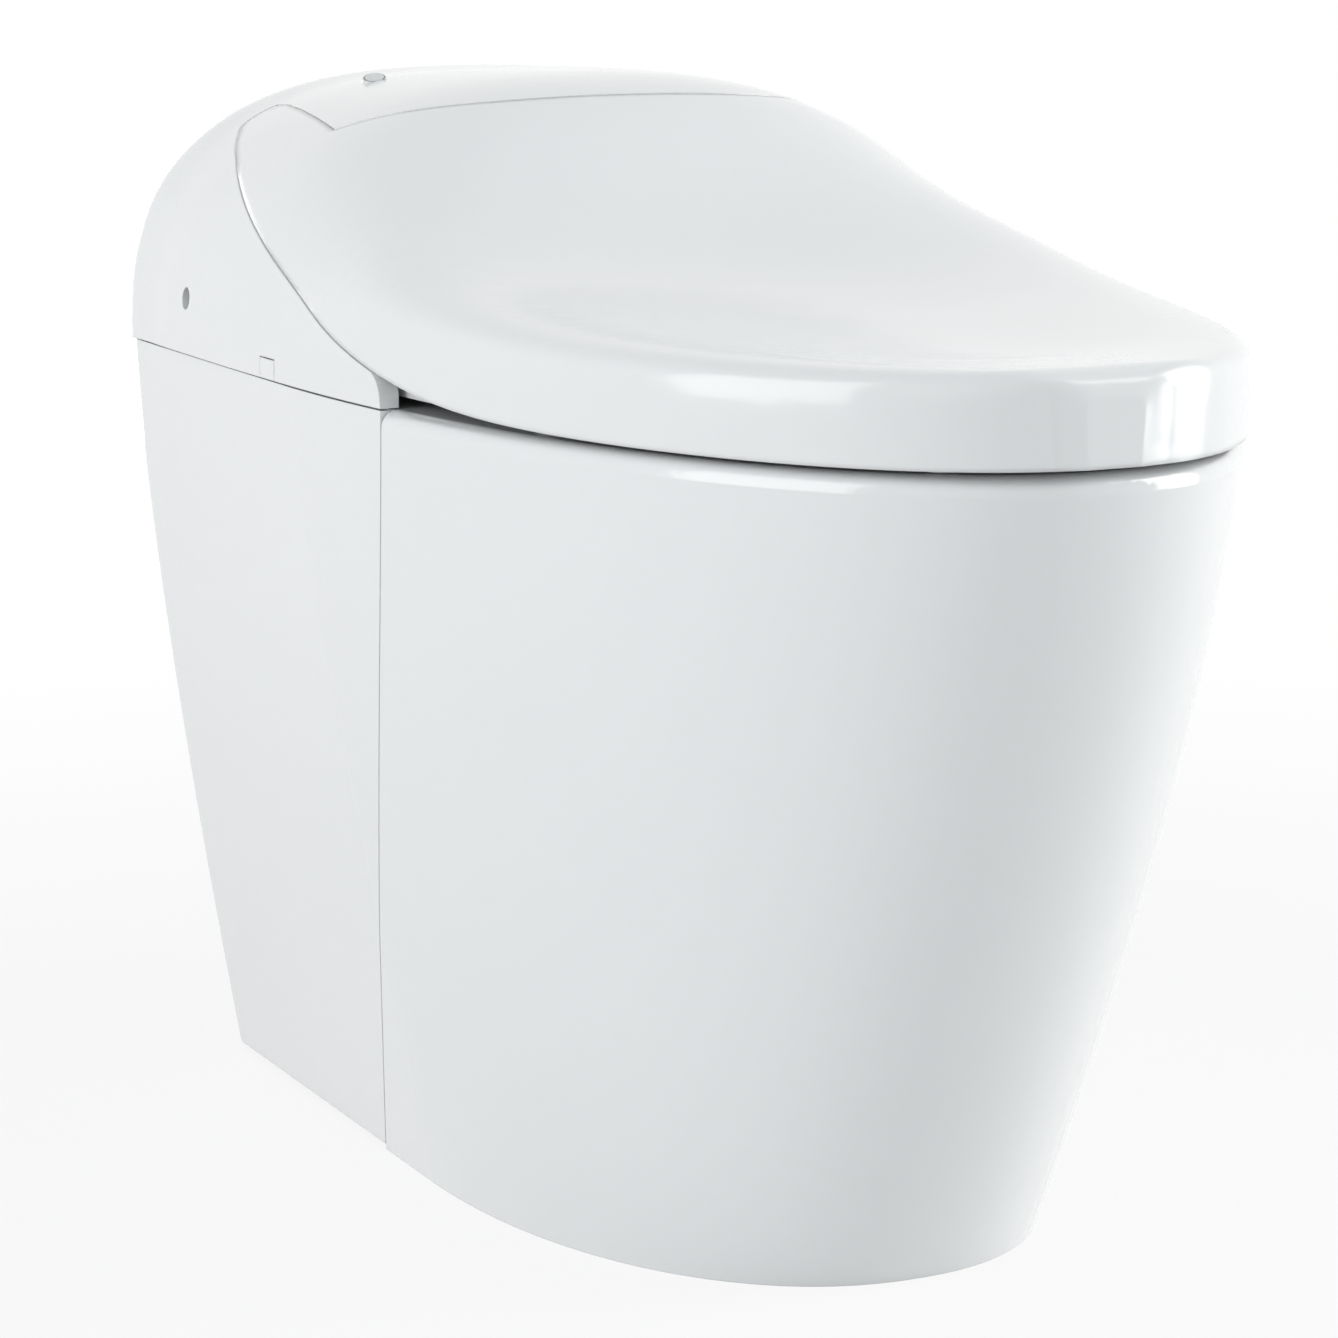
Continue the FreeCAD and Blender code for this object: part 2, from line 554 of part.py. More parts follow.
rib_front = from_wall(size("plate_corner_from_wall") + size("ear_rib_lead"))
lid_skin = outer_skin.common(lid_zone).cut(plate_clear)
rib_band = plate_prism(-gap - size("ear_rib")).cut(plate_clear)
rib_band = rib_band.common(both_sides(0, far, rib_front, rear_end, rim, far))
ribs = inner_form.cut(unit_form(wall + size("ear_rib_depth"))).common(rib_band).common(lid_zone)
lid_shell = lid_skin.fuse(ribs)
rib_outer = size("plate_rear_half_width") + gap + size("ear_rib")
pin_hole_radius = size("lid_pin_radius") + size("press_clearance")
pin_hole_start = lid_axis - Vector(rib_outer, 0, 0)
pin_hole = Part.makeCylinder(pin_hole_radius, 2 * rib_outer, pin_hole_start, Vector(1, 0, 0))
subpart("lid_shell", lid_shell.cut(pin_hole))

# Tower cover: shell behind the ear line, top plate, ledges under the lid's ears and walls below them

lid_room = lid_clear_zone.cut(plate)
in_front = before_tower(0)
tower = outer_skin.cut(lid_room).cut(in_front)
ledge = size("ledge_thickness")
over_ledge = above_ear_line(gap + ledge, size("ear_tip_radius") + gap)
ledge_band = over_ledge.fuse(before_tower(ledge)).cut(lid_clear_zone).cut(in_front)
ledge_room = both_sides(size("ledge_half_width"), far, tower_front, rear_end, unit_base, far)
ledge_rear = from_wall(size("ledge_rear_start_from_wall"))
within_plate = plate_prism(size("casing_wall"))
rear_room = both_sides(0, far, ledge_rear, lid_axis.y, unit_base, far).cut(within_plate)
ledges = inner_form.common(ledge_room.fuse(rear_room)).common(ledge_band)
beside_plate = both_sides(0, far, from_wall(size("plate_corner_from_wall")), lid_axis.y, unit_base, far)
plate_sides = inner_form.common(plate.cut(within_plate)).common(beside_plate).common(over_ledge)
bay_front = from_wall(size("ear_bay_from_wall"))
bay_base = size("chassis_top") + size("ear_bay_gap")
bay_walls = both_sides(0, far, bay_front, bay_front + ledge, bay_base, far).common(inner_form)
bay_walls = bay_walls.cut(within_plate).cut(lid_clear_zone)
tower = tower.fuse([ledges, plate_sides, bay_walls])
pin_room_radius = size("lid_pin_radius") + gap
pin_room = Part.makeCylinder(pin_room_radius, 2 * far, lid_axis - Vector(far, 0, 0), Vector(1, 0, 0))
tower = tower.cut(pin_room)

# Openings in the cover: sensor window, side screws, release button

sensor_base = Vector(-size("sensor_across"), from_wall(size("sensor_from_wall")), unit_base)
sensor_rod = Part.makeCylinder(size("sensor_radius"), far, sensor_base)
tower = tower.cut(Part.makeCylinder(size("sensor_radius") + size("sensor_gap"), far, sensor_base))
screw_y = from_wall(size("screw_from_wall"))
screw_start = Vector(-far, screw_y, size("screw_height"))
tower = tower.cut(Part.makeCylinder(size("screw_hole_radius"), 2 * far, screw_start, Vector(1, 0, 0)))
button_y = from_wall(size("button_from_wall"))
button_half = size("button_width") / 2
button_top = unit_base + size("button_height")
button_gap = size("button_gap")
button_inner = -size("plate_half_width")
room_half = button_half + button_gap
tower = tower.cut(box_between(Vector(-far, button_y - room_half, 0),
                              Vector(button_inner, button_y + room_half, button_top + button_gap)))
subpart("tower_cover", tower)

sensor_skin = outer_form.cut(unit_form(size("sensor_height")))
subpart("sensor_window", sensor_rod.common(sensor_skin))

button_skin = outer_form.cut(unit_form(size("button_depth")))
button_block = box_between(Vector(-far, button_y - button_half, unit_base),
                           Vector(button_inner, button_y + button_half, button_top))
subpart("release_button", button_skin.common(button_block))

# Lid liner and the lid's buffers, which rest on the seat

liner_middle = Vector(0, from_wall(size("liner_from_wall")), 0)
liner_outline = Part.Ellipse(liner_middle, size("liner_half_length"), size("liner_half_width"))
liner_outline.rotate(Placement(liner_middle, Rotation(Vector(0, 0, 1), 90), Vector()))
liner_prism = Part.Face(Part.Wire([liner_outline.toShape()])).extrude(Vector(0, 0, far))
liner_inset = wall + size("liner_gap")
liner_skin = unit_form(liner_inset).cut(unit_form(liner_inset + size("liner_thickness")))
subpart("lid_liner", liner_skin.common(liner_prism))


def buffer_places(carrier):
    """Names and plan places of a carrier's four buffers."""
    front = from_wall(size(carrier + "_front_buffer_from_wall"))
    side = from_wall(size("side_buffer_from_wall"))
    return (
        ("front_right", Vector(-size("front_buffer_across"), front, 0)),
        ("front_left", Vector(size("front_buffer_across"), front, 0)),
        ("side_right", Vector(-size("side_buffer_across"), side, 0)),
        ("side_left", Vector(size("side_buffer_across"), side, 0)),
    )


lid_buffer_base = Vector(0, 0, size("seat_top_height") + size("buffer_gap"))
for place, middle in buffer_places("lid"):
    post = Part.makeCylinder(size("buffer_radius"), far, middle + lid_buffer_base)
    subpart("lid_buffer_" + place, post.common(inner_form))

# Seat: heated ring over a base ring, with knuckles round its hinge axis

seat_axis = Vector(0, from_wall(size("seat_axis_from_wall")), size("seat_axis_height"))


def seat_outline(word, height):
    """Rounded front half and a blunt rounded rear, for the seat or its hole."""
    half_width = size(word + "_half_width")
    front = from_wall(size(word + "_front_from_wall"))
    rear = from_wall(size(word + "_rear_from_wall"))
    middle = from_wall(size(word + "_middle_from_wall"))
    points = []
    for step in range(32):
        angle = 2 * math.pi * step / 32
        at_front = math.sin(angle) > 0
        fullness = size("seat_front_fullness") if at_front else size("seat_rear_fullness")
        across, along = rounded_share(angle, fullness)
        reach = front - middle if at_front else rear - middle
        points.append(Vector(half_width * across, middle + reach * along, height))
    curve = Part.BSplineCurve()
    curve.interpolate(Points=points, PeriodicFlag=True)
    return Part.Face(Part.Wire([curve.toShape()]))


def seat_layer(low, high):
    rise = Vector(0, 0, high - low)
    outer = seat_outline("seat", low).extrude(rise)
    return outer.cut(seat_outline("seat_hole", low).extrude(rise))


seat_top = size("seat_top_height")
seat_split = size("seat_split_height")
seat_base_height = size("seat_base_height")
seat_ring = seat_layer(seat_split, seat_top)
top_loops = [edge for edge in seat_ring.Edges if edge.BoundBox.ZMin > seat_top - 0.01]
seat_ring = seat_ring.makeFillet(size("seat_edge_radius"), top_loops)
knuckle_inner = size("knuckle_inner")
knuckle_outer = knuckle_inner + size("knuckle_width")
seat_pin_hole_radius = size("seat_pin_radius") + size("press_clearance")
seat_pin_start = seat_axis - Vector(far, 0, 0)
seat_pin_hole = Part.makeCylinder(seat_pin_hole_radius, 2 * far, seat_pin_start, Vector(1, 0, 0))
for direction in (-1, 1):
    start = min(direction * knuckle_inner, direction * knuckle_outer)
    round_end = Part.makeCylinder(size("knuckle_radius"), size("knuckle_width"),
                                  Vector(start, seat_axis.y, seat_axis.z), Vector(1, 0, 0))
    web_front = from_wall(size("seat_rear_from_wall") + size("knuckle_web_reach"))
    web_low = Vector(start, web_front, seat_split)
    web_high = Vector(start + size("knuckle_width"), seat_axis.y, seat_axis.z)
    seat_ring = seat_ring.fuse([round_end, box_between(web_low, web_high)])
subpart("seat_ring", seat_ring.cut(seat_pin_hole).cut(channel))
subpart("seat_base", seat_layer(seat_base_height, seat_split).cut(channel))

seat_buffer_base = Vector(0, 0, rim + size("buffer_gap"))
seat_buffer_height = seat_base_height - seat_buffer_base.z
for place, middle in buffer_places("seat"):
    foot = Part.makeCylinder(size("buffer_radius"), seat_buffer_height, middle + seat_buffer_base)
    subpart("seat_buffer_" + place, foot)

# Front casing: the unit's own front wall under the plate, with openings for the wand and the warm air

casing_inset = size("casing_wall") + size("casing_gap")
casing = plate_prism(casing_inset).cut(plate_prism(casing_inset + size("casing_wall")))
chassis_top = size("chassis_top")
casing_rear = from_wall(size("casing_rear_from_wall"))
casing_space = box_between(Vector(-far, -far, chassis_top), Vector(far, casing_rear, far))
casing = casing.common(casing_space).common(unit_form(wall + size("casing_gap")))
duct_half = size("duct_across") / 2 + size("casing_gap")
duct_base = chassis_top + size("fan_wall")
duct_hole = box_between(Vector(size("duct_x") - duct_half, -far, chassis_top),
                        Vector(size("duct_x") + duct_half, from_wall(size("fan_from_wall")),
                               duct_base + size("duct_height") + 2 * size("fan_wall")))
subpart("front_casing", casing.cut(channel).cut(duct_hole).cut(pin_room))

# Wash wand: tube, rounded tip and rack, all along the sloping wand axis


def along_wand(distance):
    return wand_exit + wand_back * distance


tip_length = size("wand_tip_length")
tip_radius = size("wand_tip_radius")
tube_length = size("wand_length") - tip_length
wand_tube = Part.makeCylinder(size("wand_radius"), tube_length, along_wand(tip_length), wand_back)
subpart("wand_tube", wand_tube)
wand_tip = Part.makeCylinder(tip_radius, tip_length, along_wand(0), wand_back)
front_edges = [edge for edge in wand_tip.Edges if (edge.CenterOfMass - along_wand(0)).Length < 0.1]
wand_tip = wand_tip.makeFillet(tip_radius / 2, front_edges)
wand_up = Vector(0, -wand_back.z, wand_back.y)
spray_start = along_wand(tip_length / 2) + wand_up * (tip_radius / 2)
spray_hole = Part.makeCylinder(size("spray_hole_radius"), tip_radius, spray_start, wand_up)
subpart("wand_tip", wand_tip.cut(spray_hole))


def wand_box(start, length, side_low, side_high, up_low, up_high):
    """Box in the wand's own directions, from a start along its axis."""
    shape = box_between(Vector(side_low, start, up_low), Vector(side_high, start + length, up_high))
    shape.Placement = Placement(wand_exit, Rotation(Vector(1, 0, 0), size("wand_angle")))
    return shape


rack_low = size("wand_radius") - size("rack_sink")
rack_high = size("wand_radius") + size("rack_height")
rack_half = size("rack_width") / 2
rack_start = tip_length + size("rack_start")
rack = wand_box(rack_start, size("rack_length"), -rack_half, rack_half, rack_low, rack_high)
subpart("wand_rack", rack.cut(wand_tube))

guide_bore = size("wand_radius") + size("wand_guide_gap")
guide_radius = guide_bore + size("wand_guide_wall")
guide_start = size("wand_guide_start")
guide_length = size("wand_guide_length")
guide = Part.makeCylinder(guide_radius, guide_length, along_wand(guide_start), wand_back)
leg_half = size("guide_leg_width") / 2
for share in (0.2, 0.8):
    foot = along_wand(guide_start + guide_length * share)
    guide = guide.fuse(box_between(Vector(-leg_half, foot.y - leg_half, chassis_top),
                                   Vector(leg_half, foot.y + leg_half, foot.z)))
guide = guide.cut(Part.makeCylinder(guide_bore, 2 * far, along_wand(-far), wand_back))
rack_slot = rack_half + size("wand_guide_gap")
guide = guide.cut(wand_box(-far, 2 * far, -rack_slot, rack_slot, 0, rack_high + guide_radius))
subpart("wand_guide", guide)

# Warm air dryer: scroll housing with a duct, impeller on the motor's shaft, flap at the duct's mouth

fan_axis = Vector(size("fan_x"), from_wall(size("fan_from_wall")), chassis_top)
fan_wall = size("fan_wall")
house_height = size("fan_house_height")
duct_front = from_wall(size("duct_front_from_wall"))
duct_top = duct_base + size("duct_height") + fan_wall
duct_low = Vector(size("duct_x") - size("duct_across") / 2, duct_front, chassis_top)
duct_high = Vector(size("duct_x") + size("duct_across") / 2, fan_axis.y, duct_top)
scroll = Part.makeCylinder(size("fan_house_radius"), house_height, fan_axis)
housing = scroll.fuse(box_between(duct_low, duct_high))
inside = Part.makeCylinder(size("fan_house_radius") - fan_wall, house_height - 2 * fan_wall,
                           fan_axis + Vector(0, 0, fan_wall))
duct_walls = Vector(fan_wall, 0, fan_wall)
duct_inside = box_between(duct_low + duct_walls - Vector(0, 1, 0), duct_high - duct_walls)
shaft_hole_radius = size("shaft_radius") + size("pin_clearance")
shaft_hole = Part.makeCylinder(shaft_hole_radius, house_height, fan_axis + Vector(0, 0, fan_wall))
subpart("dryer_housing", housing.cut(inside).cut(duct_inside).cut(shaft_hole))

impeller_base = fan_axis + Vector(0, 0, fan_wall + size("impeller_gap"))
impeller_height = size("impeller_height")
impeller = Part.makeCylinder(size("hub_radius"), impeller_height, impeller_base)
impeller = impeller.fuse(Part.makeCylinder(size("impeller_radius"), size("blade_thickness"), impeller_base))
blade_half = size("blade_thickness") / 2
for blade in range(round(size("blade_count"))):
    vane = box_between(Vector(size("hub_radius") - size("blade_root"), -blade_half, 0),
                       Vector(size("impeller_radius"), blade_half, impeller_height))
    vane.Placement = Placement(impeller_base, Rotation(Vector(0, 0, 1), 360 * blade / size("blade_count")))
    impeller = impeller.fuse(vane)
shaft_bore = Part.makeCylinder(shaft_hole_radius, far, fan_axis)
subpart("dryer_impeller", impeller.cut(shaft_bore))

motor_base = fan_axis + Vector(0, 0, house_height)
motor = Part.makeCylinder(size("fan_motor_radius"), size("fan_motor_height"), motor_base)
motor = motor.fuse(Part.makeCylinder(size("shaft_radius"), house_height, impeller_base))
subpart("dryer_motor", motor)

flap_axis = Vector(size("duct_x"), duct_front - size("flap_gap") - size("flap_pin_radius"), duct_high.z)
flap_half = size("duct_across") / 2
flap_reach = Vector(flap_half, size("flap_thickness") / 2, 0)
flap_drop = Vector(0, 0, flap_axis.z - duct_base)
flap = box_between(flap_axis - flap_reach - flap_drop, flap_axis + flap_reach)
bead_start = flap_axis - Vector(flap_half, 0, 0)
flap_bead = Part.makeCylinder(size("flap_pin_radius"), 2 * flap_half, bead_start, Vector(1, 0, 0))
subpart("dryer_flap", flap.fuse(flap_bead))

# Sub-parts made of bound primitives


def bind(item, bindings):
    for path, text in bindings.items():
        item.setExpression(path, text)
    return item


def block(name, low, span):
    """Box from a low corner; corner and span are expressions in the sheet's names."""
    item = document.addObject("Part::Box", name)
    words = ("Length", "Width", "Height")
    bindings = {word: text for word, text in zip(words, span)}
    bindings.update({"Placement.Base." + word: text for word, text in zip("xyz", low)})
    return bind(item, bindings)


TURNS = {"x": Rotation(Vector(0, 1, 0), 90), "y": Rotation(Vector(1, 0, 0), -90), "z": Rotation()}


def rod(name, radius, length, start, axis):
    """Cylinder from a start point along a positive axis."""
    item = document.addObject("Part::Cylinder", name)
    item.Placement = Placement(Vector(), TURNS[axis])
    bindings = {"Radius": radius, "Height": length}
    bindings.update({"Placement.Base." + word: text for word, text in zip("xyz", start)})
    return bind(item, bindings)


def joined(name, items):
    item = document.addObject("Part::MultiFuse", name)
    item.Shapes = items
    return item


def cut(name, base, tool):
    item = document.addObject("Part::Cut", name)
    item.Base = base
    item.Tool = tool
    return item


def keep(node, item):
    item.Label = node
    subparts.append(item)
    return item


def behind(distance):
    return "size.depth / 2 - (%s)" % distance


# Chassis: plate on the china's deck, posts for the lid hubs and the side screws, lugs for the seat pins

deck = "size.rim_height"
chassis_half = "(size.unit_rear_half_width - size.shell_wall - size.chassis_clearance)"
chassis_span = "(size.chassis_front_from_wall - size.chassis_rear_from_wall)"
chassis_pieces = [block("chassis_plate", ("-" + chassis_half, behind("size.chassis_front_from_wall"), deck),
                        ("2 * " + chassis_half, chassis_span, "size.chassis_thickness"))]
chassis_holes = []
lid_y = behind("size.lid_axis_from_wall")
seat_y = behind("size.seat_axis_from_wall")
hub_radius = "size.lid_pin_radius + size.pin_clearance + size.hub_wall"
lug_inner = "(size.knuckle_inner + size.knuckle_width + size.lug_gap)"
lug_depth = "size.knuckle_radius + size.seat_axis_from_wall - size.chassis_front_from_wall + size.lug_overlap"
screw_place = behind("size.screw_from_wall")
for side, sign in (("right", "-"), ("left", "")):
    hub_x = "size.lid_pin_inner" if sign == "" else "-size.lid_pin_inner - size.hub_length"
    chassis_pieces.append(rod("hub_" + side, hub_radius, "size.hub_length",
                              (hub_x, lid_y, "size.lid_axis_height"), "x"))
    chassis_pieces.append(block("hub_post_" + side, (hub_x, lid_y + " - size.hub_post_depth / 2", deck),
                                ("size.hub_length", "size.hub_post_depth", "size.lid_axis_lift")))
    lug_x = lug_inner if sign == "" else "-%s - size.lug_width" % lug_inner
    chassis_pieces.append(rod("lug_" + side, "size.knuckle_radius", "size.lug_width",
                              (lug_x, seat_y, "size.seat_axis_height"), "x"))
    chassis_pieces.append(block("lug_post_" + side, (lug_x, seat_y + " - size.knuckle_radius", deck),
                                ("size.lug_width", lug_depth, "size.seat_axis_lift")))
    screw_x = "size.screw_post_across - size.screw_post_width" if sign == "" else "-size.screw_post_across"
    chassis_pieces.append(block("screw_post_" + side,
                                (screw_x, screw_place + " - size.screw_post_depth / 2", deck),
                                ("size.screw_post_width", "size.screw_post_depth",
                                 "size.screw_lift + size.screw_hole_radius")))
long_start = "-size.depth"
long_span = "2 * size.depth"
chassis_holes.append(rod("lid_pin_bore", "size.lid_pin_radius + size.pin_clearance", long_span,
                         (long_start, lid_y, "size.lid_axis_height"), "x"))
chassis_holes.append(rod("seat_pin_bore", "size.seat_pin_radius + size.pin_clearance", long_span,
                         (long_start, seat_y, "size.seat_axis_height"), "x"))
chassis_holes.append(rod("screw_bore", "size.screw_shank_radius + size.press_clearance", long_span,
                         (long_start, screw_place, "size.screw_height"), "x"))
chassis_solid = joined("chassis_solid", chassis_pieces)
keep("unit_chassis", cut("chassis_bored", chassis_solid, joined("chassis_bores", chassis_holes)))

# Hinge pins, side screws, floor brackets and their screws, one of each per side

rib_end = "(size.plate_rear_half_width + size.lid_gap + size.ear_rib)"
seat_pin_span = "(size.knuckle_width + size.lug_gap + size.lug_width - 2 * size.seat_pin_end_gap)"
seat_pin_inner = "(size.knuckle_inner + size.seat_pin_end_gap)"
bracket_y = behind("size.china_rear_from_wall")
for side, sign in (("right", "-"), ("left", "")):
    pin_x = "size.lid_pin_inner" if sign == "" else "-" + rib_end
    keep("lid_pin_" + side, rod("lid_pin_solid_" + side, "size.lid_pin_radius",
                                rib_end + " - size.lid_pin_inner",
                                (pin_x, lid_y, "size.lid_axis_height"), "x"))
    pin_x = seat_pin_inner if sign == "" else "-%s - %s" % (seat_pin_inner, seat_pin_span)
    keep("seat_pin_" + side, rod("seat_pin_solid_" + side, "size.seat_pin_radius", seat_pin_span,
                                 (pin_x, seat_y, "size.seat_axis_height"), "x"))
    head_x = "size.screw_post_across" if sign == "" else "-size.screw_head_outer"
    shank_x = "size.screw_post_across - size.screw_post_width" if sign == "" else "-size.screw_post_across"
    head = rod("side_screw_head_" + side, "size.screw_hole_radius - size.screw_head_gap",
               "size.screw_head_length", (head_x, screw_place, "size.screw_height"), "x")
    shank = rod("side_screw_shank_" + side, "size.screw_shank_radius", "size.screw_post_width",
                (shank_x, screw_place, "size.screw_height"), "x")
    keep("side_screw_" + side, joined("side_screw_solid_" + side, [head, shank]))
    foot_x = "%ssize.bracket_across - size.bracket_width / 2" % sign
    upright = block("bracket_upright_" + side, (foot_x, bracket_y, "0"),
                    ("size.bracket_width", "size.bracket_plate", "size.bracket_rise"))
    foot = block("bracket_foot_" + side, (foot_x, bracket_y, "0"),
                 ("size.bracket_width", "size.bracket_reach", "size.bracket_plate"))
    bracket_x = "%ssize.bracket_across" % sign
    hole_start = (bracket_x, behind("size.floor_hole_from_wall"), "-size.bracket_plate / 2")
    floor_hole = rod("floor_hole_" + side, "size.floor_hole_radius", "2 * size.bracket_plate",
                     hole_start, "z")
    bracket = joined("bracket_solid_" + side, [upright, foot])
    keep("floor_bracket_" + side, cut("bracket_drilled_" + side, bracket, floor_hole))
    screw_start = (bracket_x, bracket_y + " + size.bracket_plate", "size.bracket_screw_height")
    keep("bracket_screw_" + side, rod("bracket_screw_solid_" + side, "size.bracket_screw_radius",
                                      "size.bracket_screw_head", screw_start, "y"))

# Water supply spigot under the inlet valve, and the cord gland, a blind socket in the china's rear

spigot_low = "size.inlet_valve_base - size.spigot_length"
spigot_y = behind("size.inlet_valve_from_wall")
spigot = rod("spigot_outside", "size.spigot_radius", "size.spigot_length",
             ("size.inlet_valve_middle", spigot_y, spigot_low), "z")
spigot_hole = rod("spigot_inside", "size.spigot_bore", "size.spigot_length",
                  ("size.inlet_valve_middle", spigot_y, spigot_low + " - size.spigot_end_wall"), "z")
keep("supply_spigot", cut("spigot_bored", spigot, spigot_hole))
gland = rod("gland_outside", "size.gland_radius", "size.gland_length",
            ("size.gland_x", bracket_y, "size.gland_height"), "y")
gland_floor = bracket_y + " + size.gland_length - size.gland_bore_depth"
gland_hole = rod("gland_inside", "size.gland_bore", "size.gland_length",
                 ("size.gland_x", gland_floor, "size.gland_height"), "y")
keep("cord_gland", cut("gland_bored", gland, gland_hole))


# Housings inside the unit: a padded rectangle with rounded upright corners


def padded_housing(node):
    body = document.addObject("PartDesign::Body", node + "_body")
    sketch = body.newObject("Sketcher::SketchObject", node + "_outline")
    ground = [item for item in body.Origin.OriginFeatures if item.Role == "XY_Plane"][0]
    sketch.AttachmentSupport = [(ground, "")]
    sketch.MapMode = "FlatFace"
    corners = [Vector(-10, -10, 0), Vector(10, -10, 0), Vector(10, 10, 0), Vector(-10, 10, 0)]
    for start, end in zip(corners, corners[1:] + corners[:1]):
        sketch.addGeometry(Part.LineSegment(start, end))
    for line in range(4):
        sketch.addConstraint(Sketcher.Constraint("Coincident", line, 2, (line + 1) % 4, 1))
    for line, kind in enumerate(("Horizontal", "Vertical", "Horizontal", "Vertical")):
        sketch.addConstraint(Sketcher.Constraint(kind, line))
    sketch.addConstraint(Sketcher.Constraint("Symmetric", 0, 1, 1, 2, -1, 1))
    across = sketch.addConstraint(Sketcher.Constraint("DistanceX", 0, 1, 0, 2, 20))
    along = sketch.addConstraint(Sketcher.Constraint("DistanceY", 1, 1, 1, 2, 20))
    sketch.setExpression("Constraints[%d]" % across, "size.%s_across" % node)
    sketch.setExpression("Constraints[%d]" % along, "size.%s_along" % node)
    pad = body.newObject("PartDesign::Pad", node + "_pad")
    pad.Profile = sketch
    pad.setExpression("Length", "size.%s_height" % node)
    document.recompute()
    fillet = body.newObject("PartDesign::Fillet", node + "_corners")
    upright = [index for index, edge in enumerate(pad.Shape.Edges, start=1) if edge.BoundBox.ZLength > 1]
    fillet.Base = (pad, ["Edge%d" % index for index in upright])
    fillet.setExpression("Radius", "size.%s_corner" % node)
    body.Tip = fillet
    bind(body, {
        "Placement.Base.x": "size.%s_middle" % node,
        "Placement.Base.y": behind("size.%s_from_wall" % node),
        "Placement.Base.z": "size.%s_base" % node,
    })
    return keep(node, body)


for housing in HOUSINGS:
    padded_housing(housing[0])

document.recompute()

for item in document.Objects:
    if "Invalid" in item.State or "Error" in item.State:
        raise RuntimeError("%s failed: %s" % (item.Label, item.State))
os.makedirs("parts", exist_ok=True)
for item in subparts:
    if item.Shape.isNull() or not item.Shape.isValid():
        raise RuntimeError("%s has no valid shape" % item.Label)
    print(item.Label, len(item.Shape.Solids), "solids, volume", round(item.Shape.Volume))
    item.Shape.exportStep("parts/%s.step" % item.Label)
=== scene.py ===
import math

import bmesh
import bpy
from mathutils import Matrix, Vector


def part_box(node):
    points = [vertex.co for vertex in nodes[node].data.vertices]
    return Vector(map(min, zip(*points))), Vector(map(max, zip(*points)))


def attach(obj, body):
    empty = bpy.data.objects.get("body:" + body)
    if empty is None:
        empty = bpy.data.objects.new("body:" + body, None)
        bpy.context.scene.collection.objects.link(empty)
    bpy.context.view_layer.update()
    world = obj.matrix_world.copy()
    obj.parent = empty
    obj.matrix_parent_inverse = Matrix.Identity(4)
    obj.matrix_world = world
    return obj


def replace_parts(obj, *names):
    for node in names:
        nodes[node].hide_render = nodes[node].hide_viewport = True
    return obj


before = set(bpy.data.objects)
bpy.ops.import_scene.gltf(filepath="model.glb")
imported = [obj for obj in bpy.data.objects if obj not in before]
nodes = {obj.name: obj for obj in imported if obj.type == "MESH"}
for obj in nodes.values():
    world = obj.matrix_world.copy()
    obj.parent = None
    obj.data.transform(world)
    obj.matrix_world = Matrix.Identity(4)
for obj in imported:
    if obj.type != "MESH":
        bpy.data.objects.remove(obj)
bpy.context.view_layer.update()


# Pedestal, bowl and trapway: vitreous china, slip cast in one go, sprayed with white glaze and fired.
# The glaze is glossy and lies very slightly uneven, and it rounds every edge that it runs over.

class Wire:
    """One output of a material's node tree; sums on it become Math nodes."""

    def __init__(self, tree, socket=None):
        self.tree = tree
        self.socket = socket

    def node(self, kind, settings=None, values=None, output=0):
        made = self.tree.nodes.new("ShaderNode" + kind)
        for name, value in (settings or {}).items():
            setattr(made, name, value)
        for name, value in (values or {}).items():
            if isinstance(value, Wire):
                self.tree.links.new(value.socket, made.inputs[name])
            else:
                made.inputs[name].default_value = value
        return Wire(self.tree, made.outputs[output])

    def blend(self, share, first, second):
        """Colour mix: its share is input 0, its colours are 6 and 7, and its result is output 2."""
        return self.node("Mix", {"data_type": "RGBA"}, {0: share, 6: first, 7: second}, output=2)

    def cover(self, output):
        """Ends a material or a world with this shader."""
        self.tree.links.new(self.socket, output.inputs["Surface"])

    def sum(self, operation, first, second):
        return self.node("Math", {"operation": operation}, {0: first, 1: second})

    def __add__(self, other):
        return self.sum("ADD", self, other)

    __radd__ = __add__

    def __mul__(self, other):
        return self.sum("MULTIPLY", self, other)

    __rmul__ = __mul__


def blank_material(name):
    """A new material with an empty tree: the wire to build on and the output node."""
    material = bpy.data.materials.new(name)
    material.use_nodes = True
    tree = material.node_tree
    tree.nodes.clear()
    output = tree.nodes.new("ShaderNodeOutputMaterial")
    return material, Wire(tree), output


def hard_finish(name, pale, deep, roughness, spread, grain_scale, grain, coat, edge):
    """A hard coloured surface: cloudy tint, uneven gloss, faint grain, and edges rounded by a radius."""
    material, wire, output = blank_material(name)
    place = wire.node("TexCoord", output="Object")
    cloud = wire.node("TexNoise", {}, {"Vector": place, "Scale": 6.0, "Detail": 2.0})
    speck = wire.node("TexNoise", {}, {"Vector": place, "Scale": grain_scale, "Detail": 3.0})
    tint = wire.blend(cloud, deep, pale)
    softened = wire.node("Bevel", {"samples": 4}, {"Radius": edge})
    bump = wire.node("Bump", {}, {"Strength": grain, "Distance": 0.0002, "Height": speck,
                                  "Normal": softened})
    shader = wire.node("BsdfPrincipled", {}, {
        "Base Color": tint, "Roughness": roughness + spread * speck, "Normal": bump,
        "Coat Weight": coat, "Coat Roughness": 0.12, "IOR": 1.5,
    })
    shader.cover(output)
    return material


def finish_nodes(material, *names):
    """Packed nodes keep their meshes and take a finish."""
    for name in names:
        slots = nodes[name].data.materials
        slots.clear()
        slots.append(material)
        for face in nodes[name].data.polygons:
            face.material_index = 0


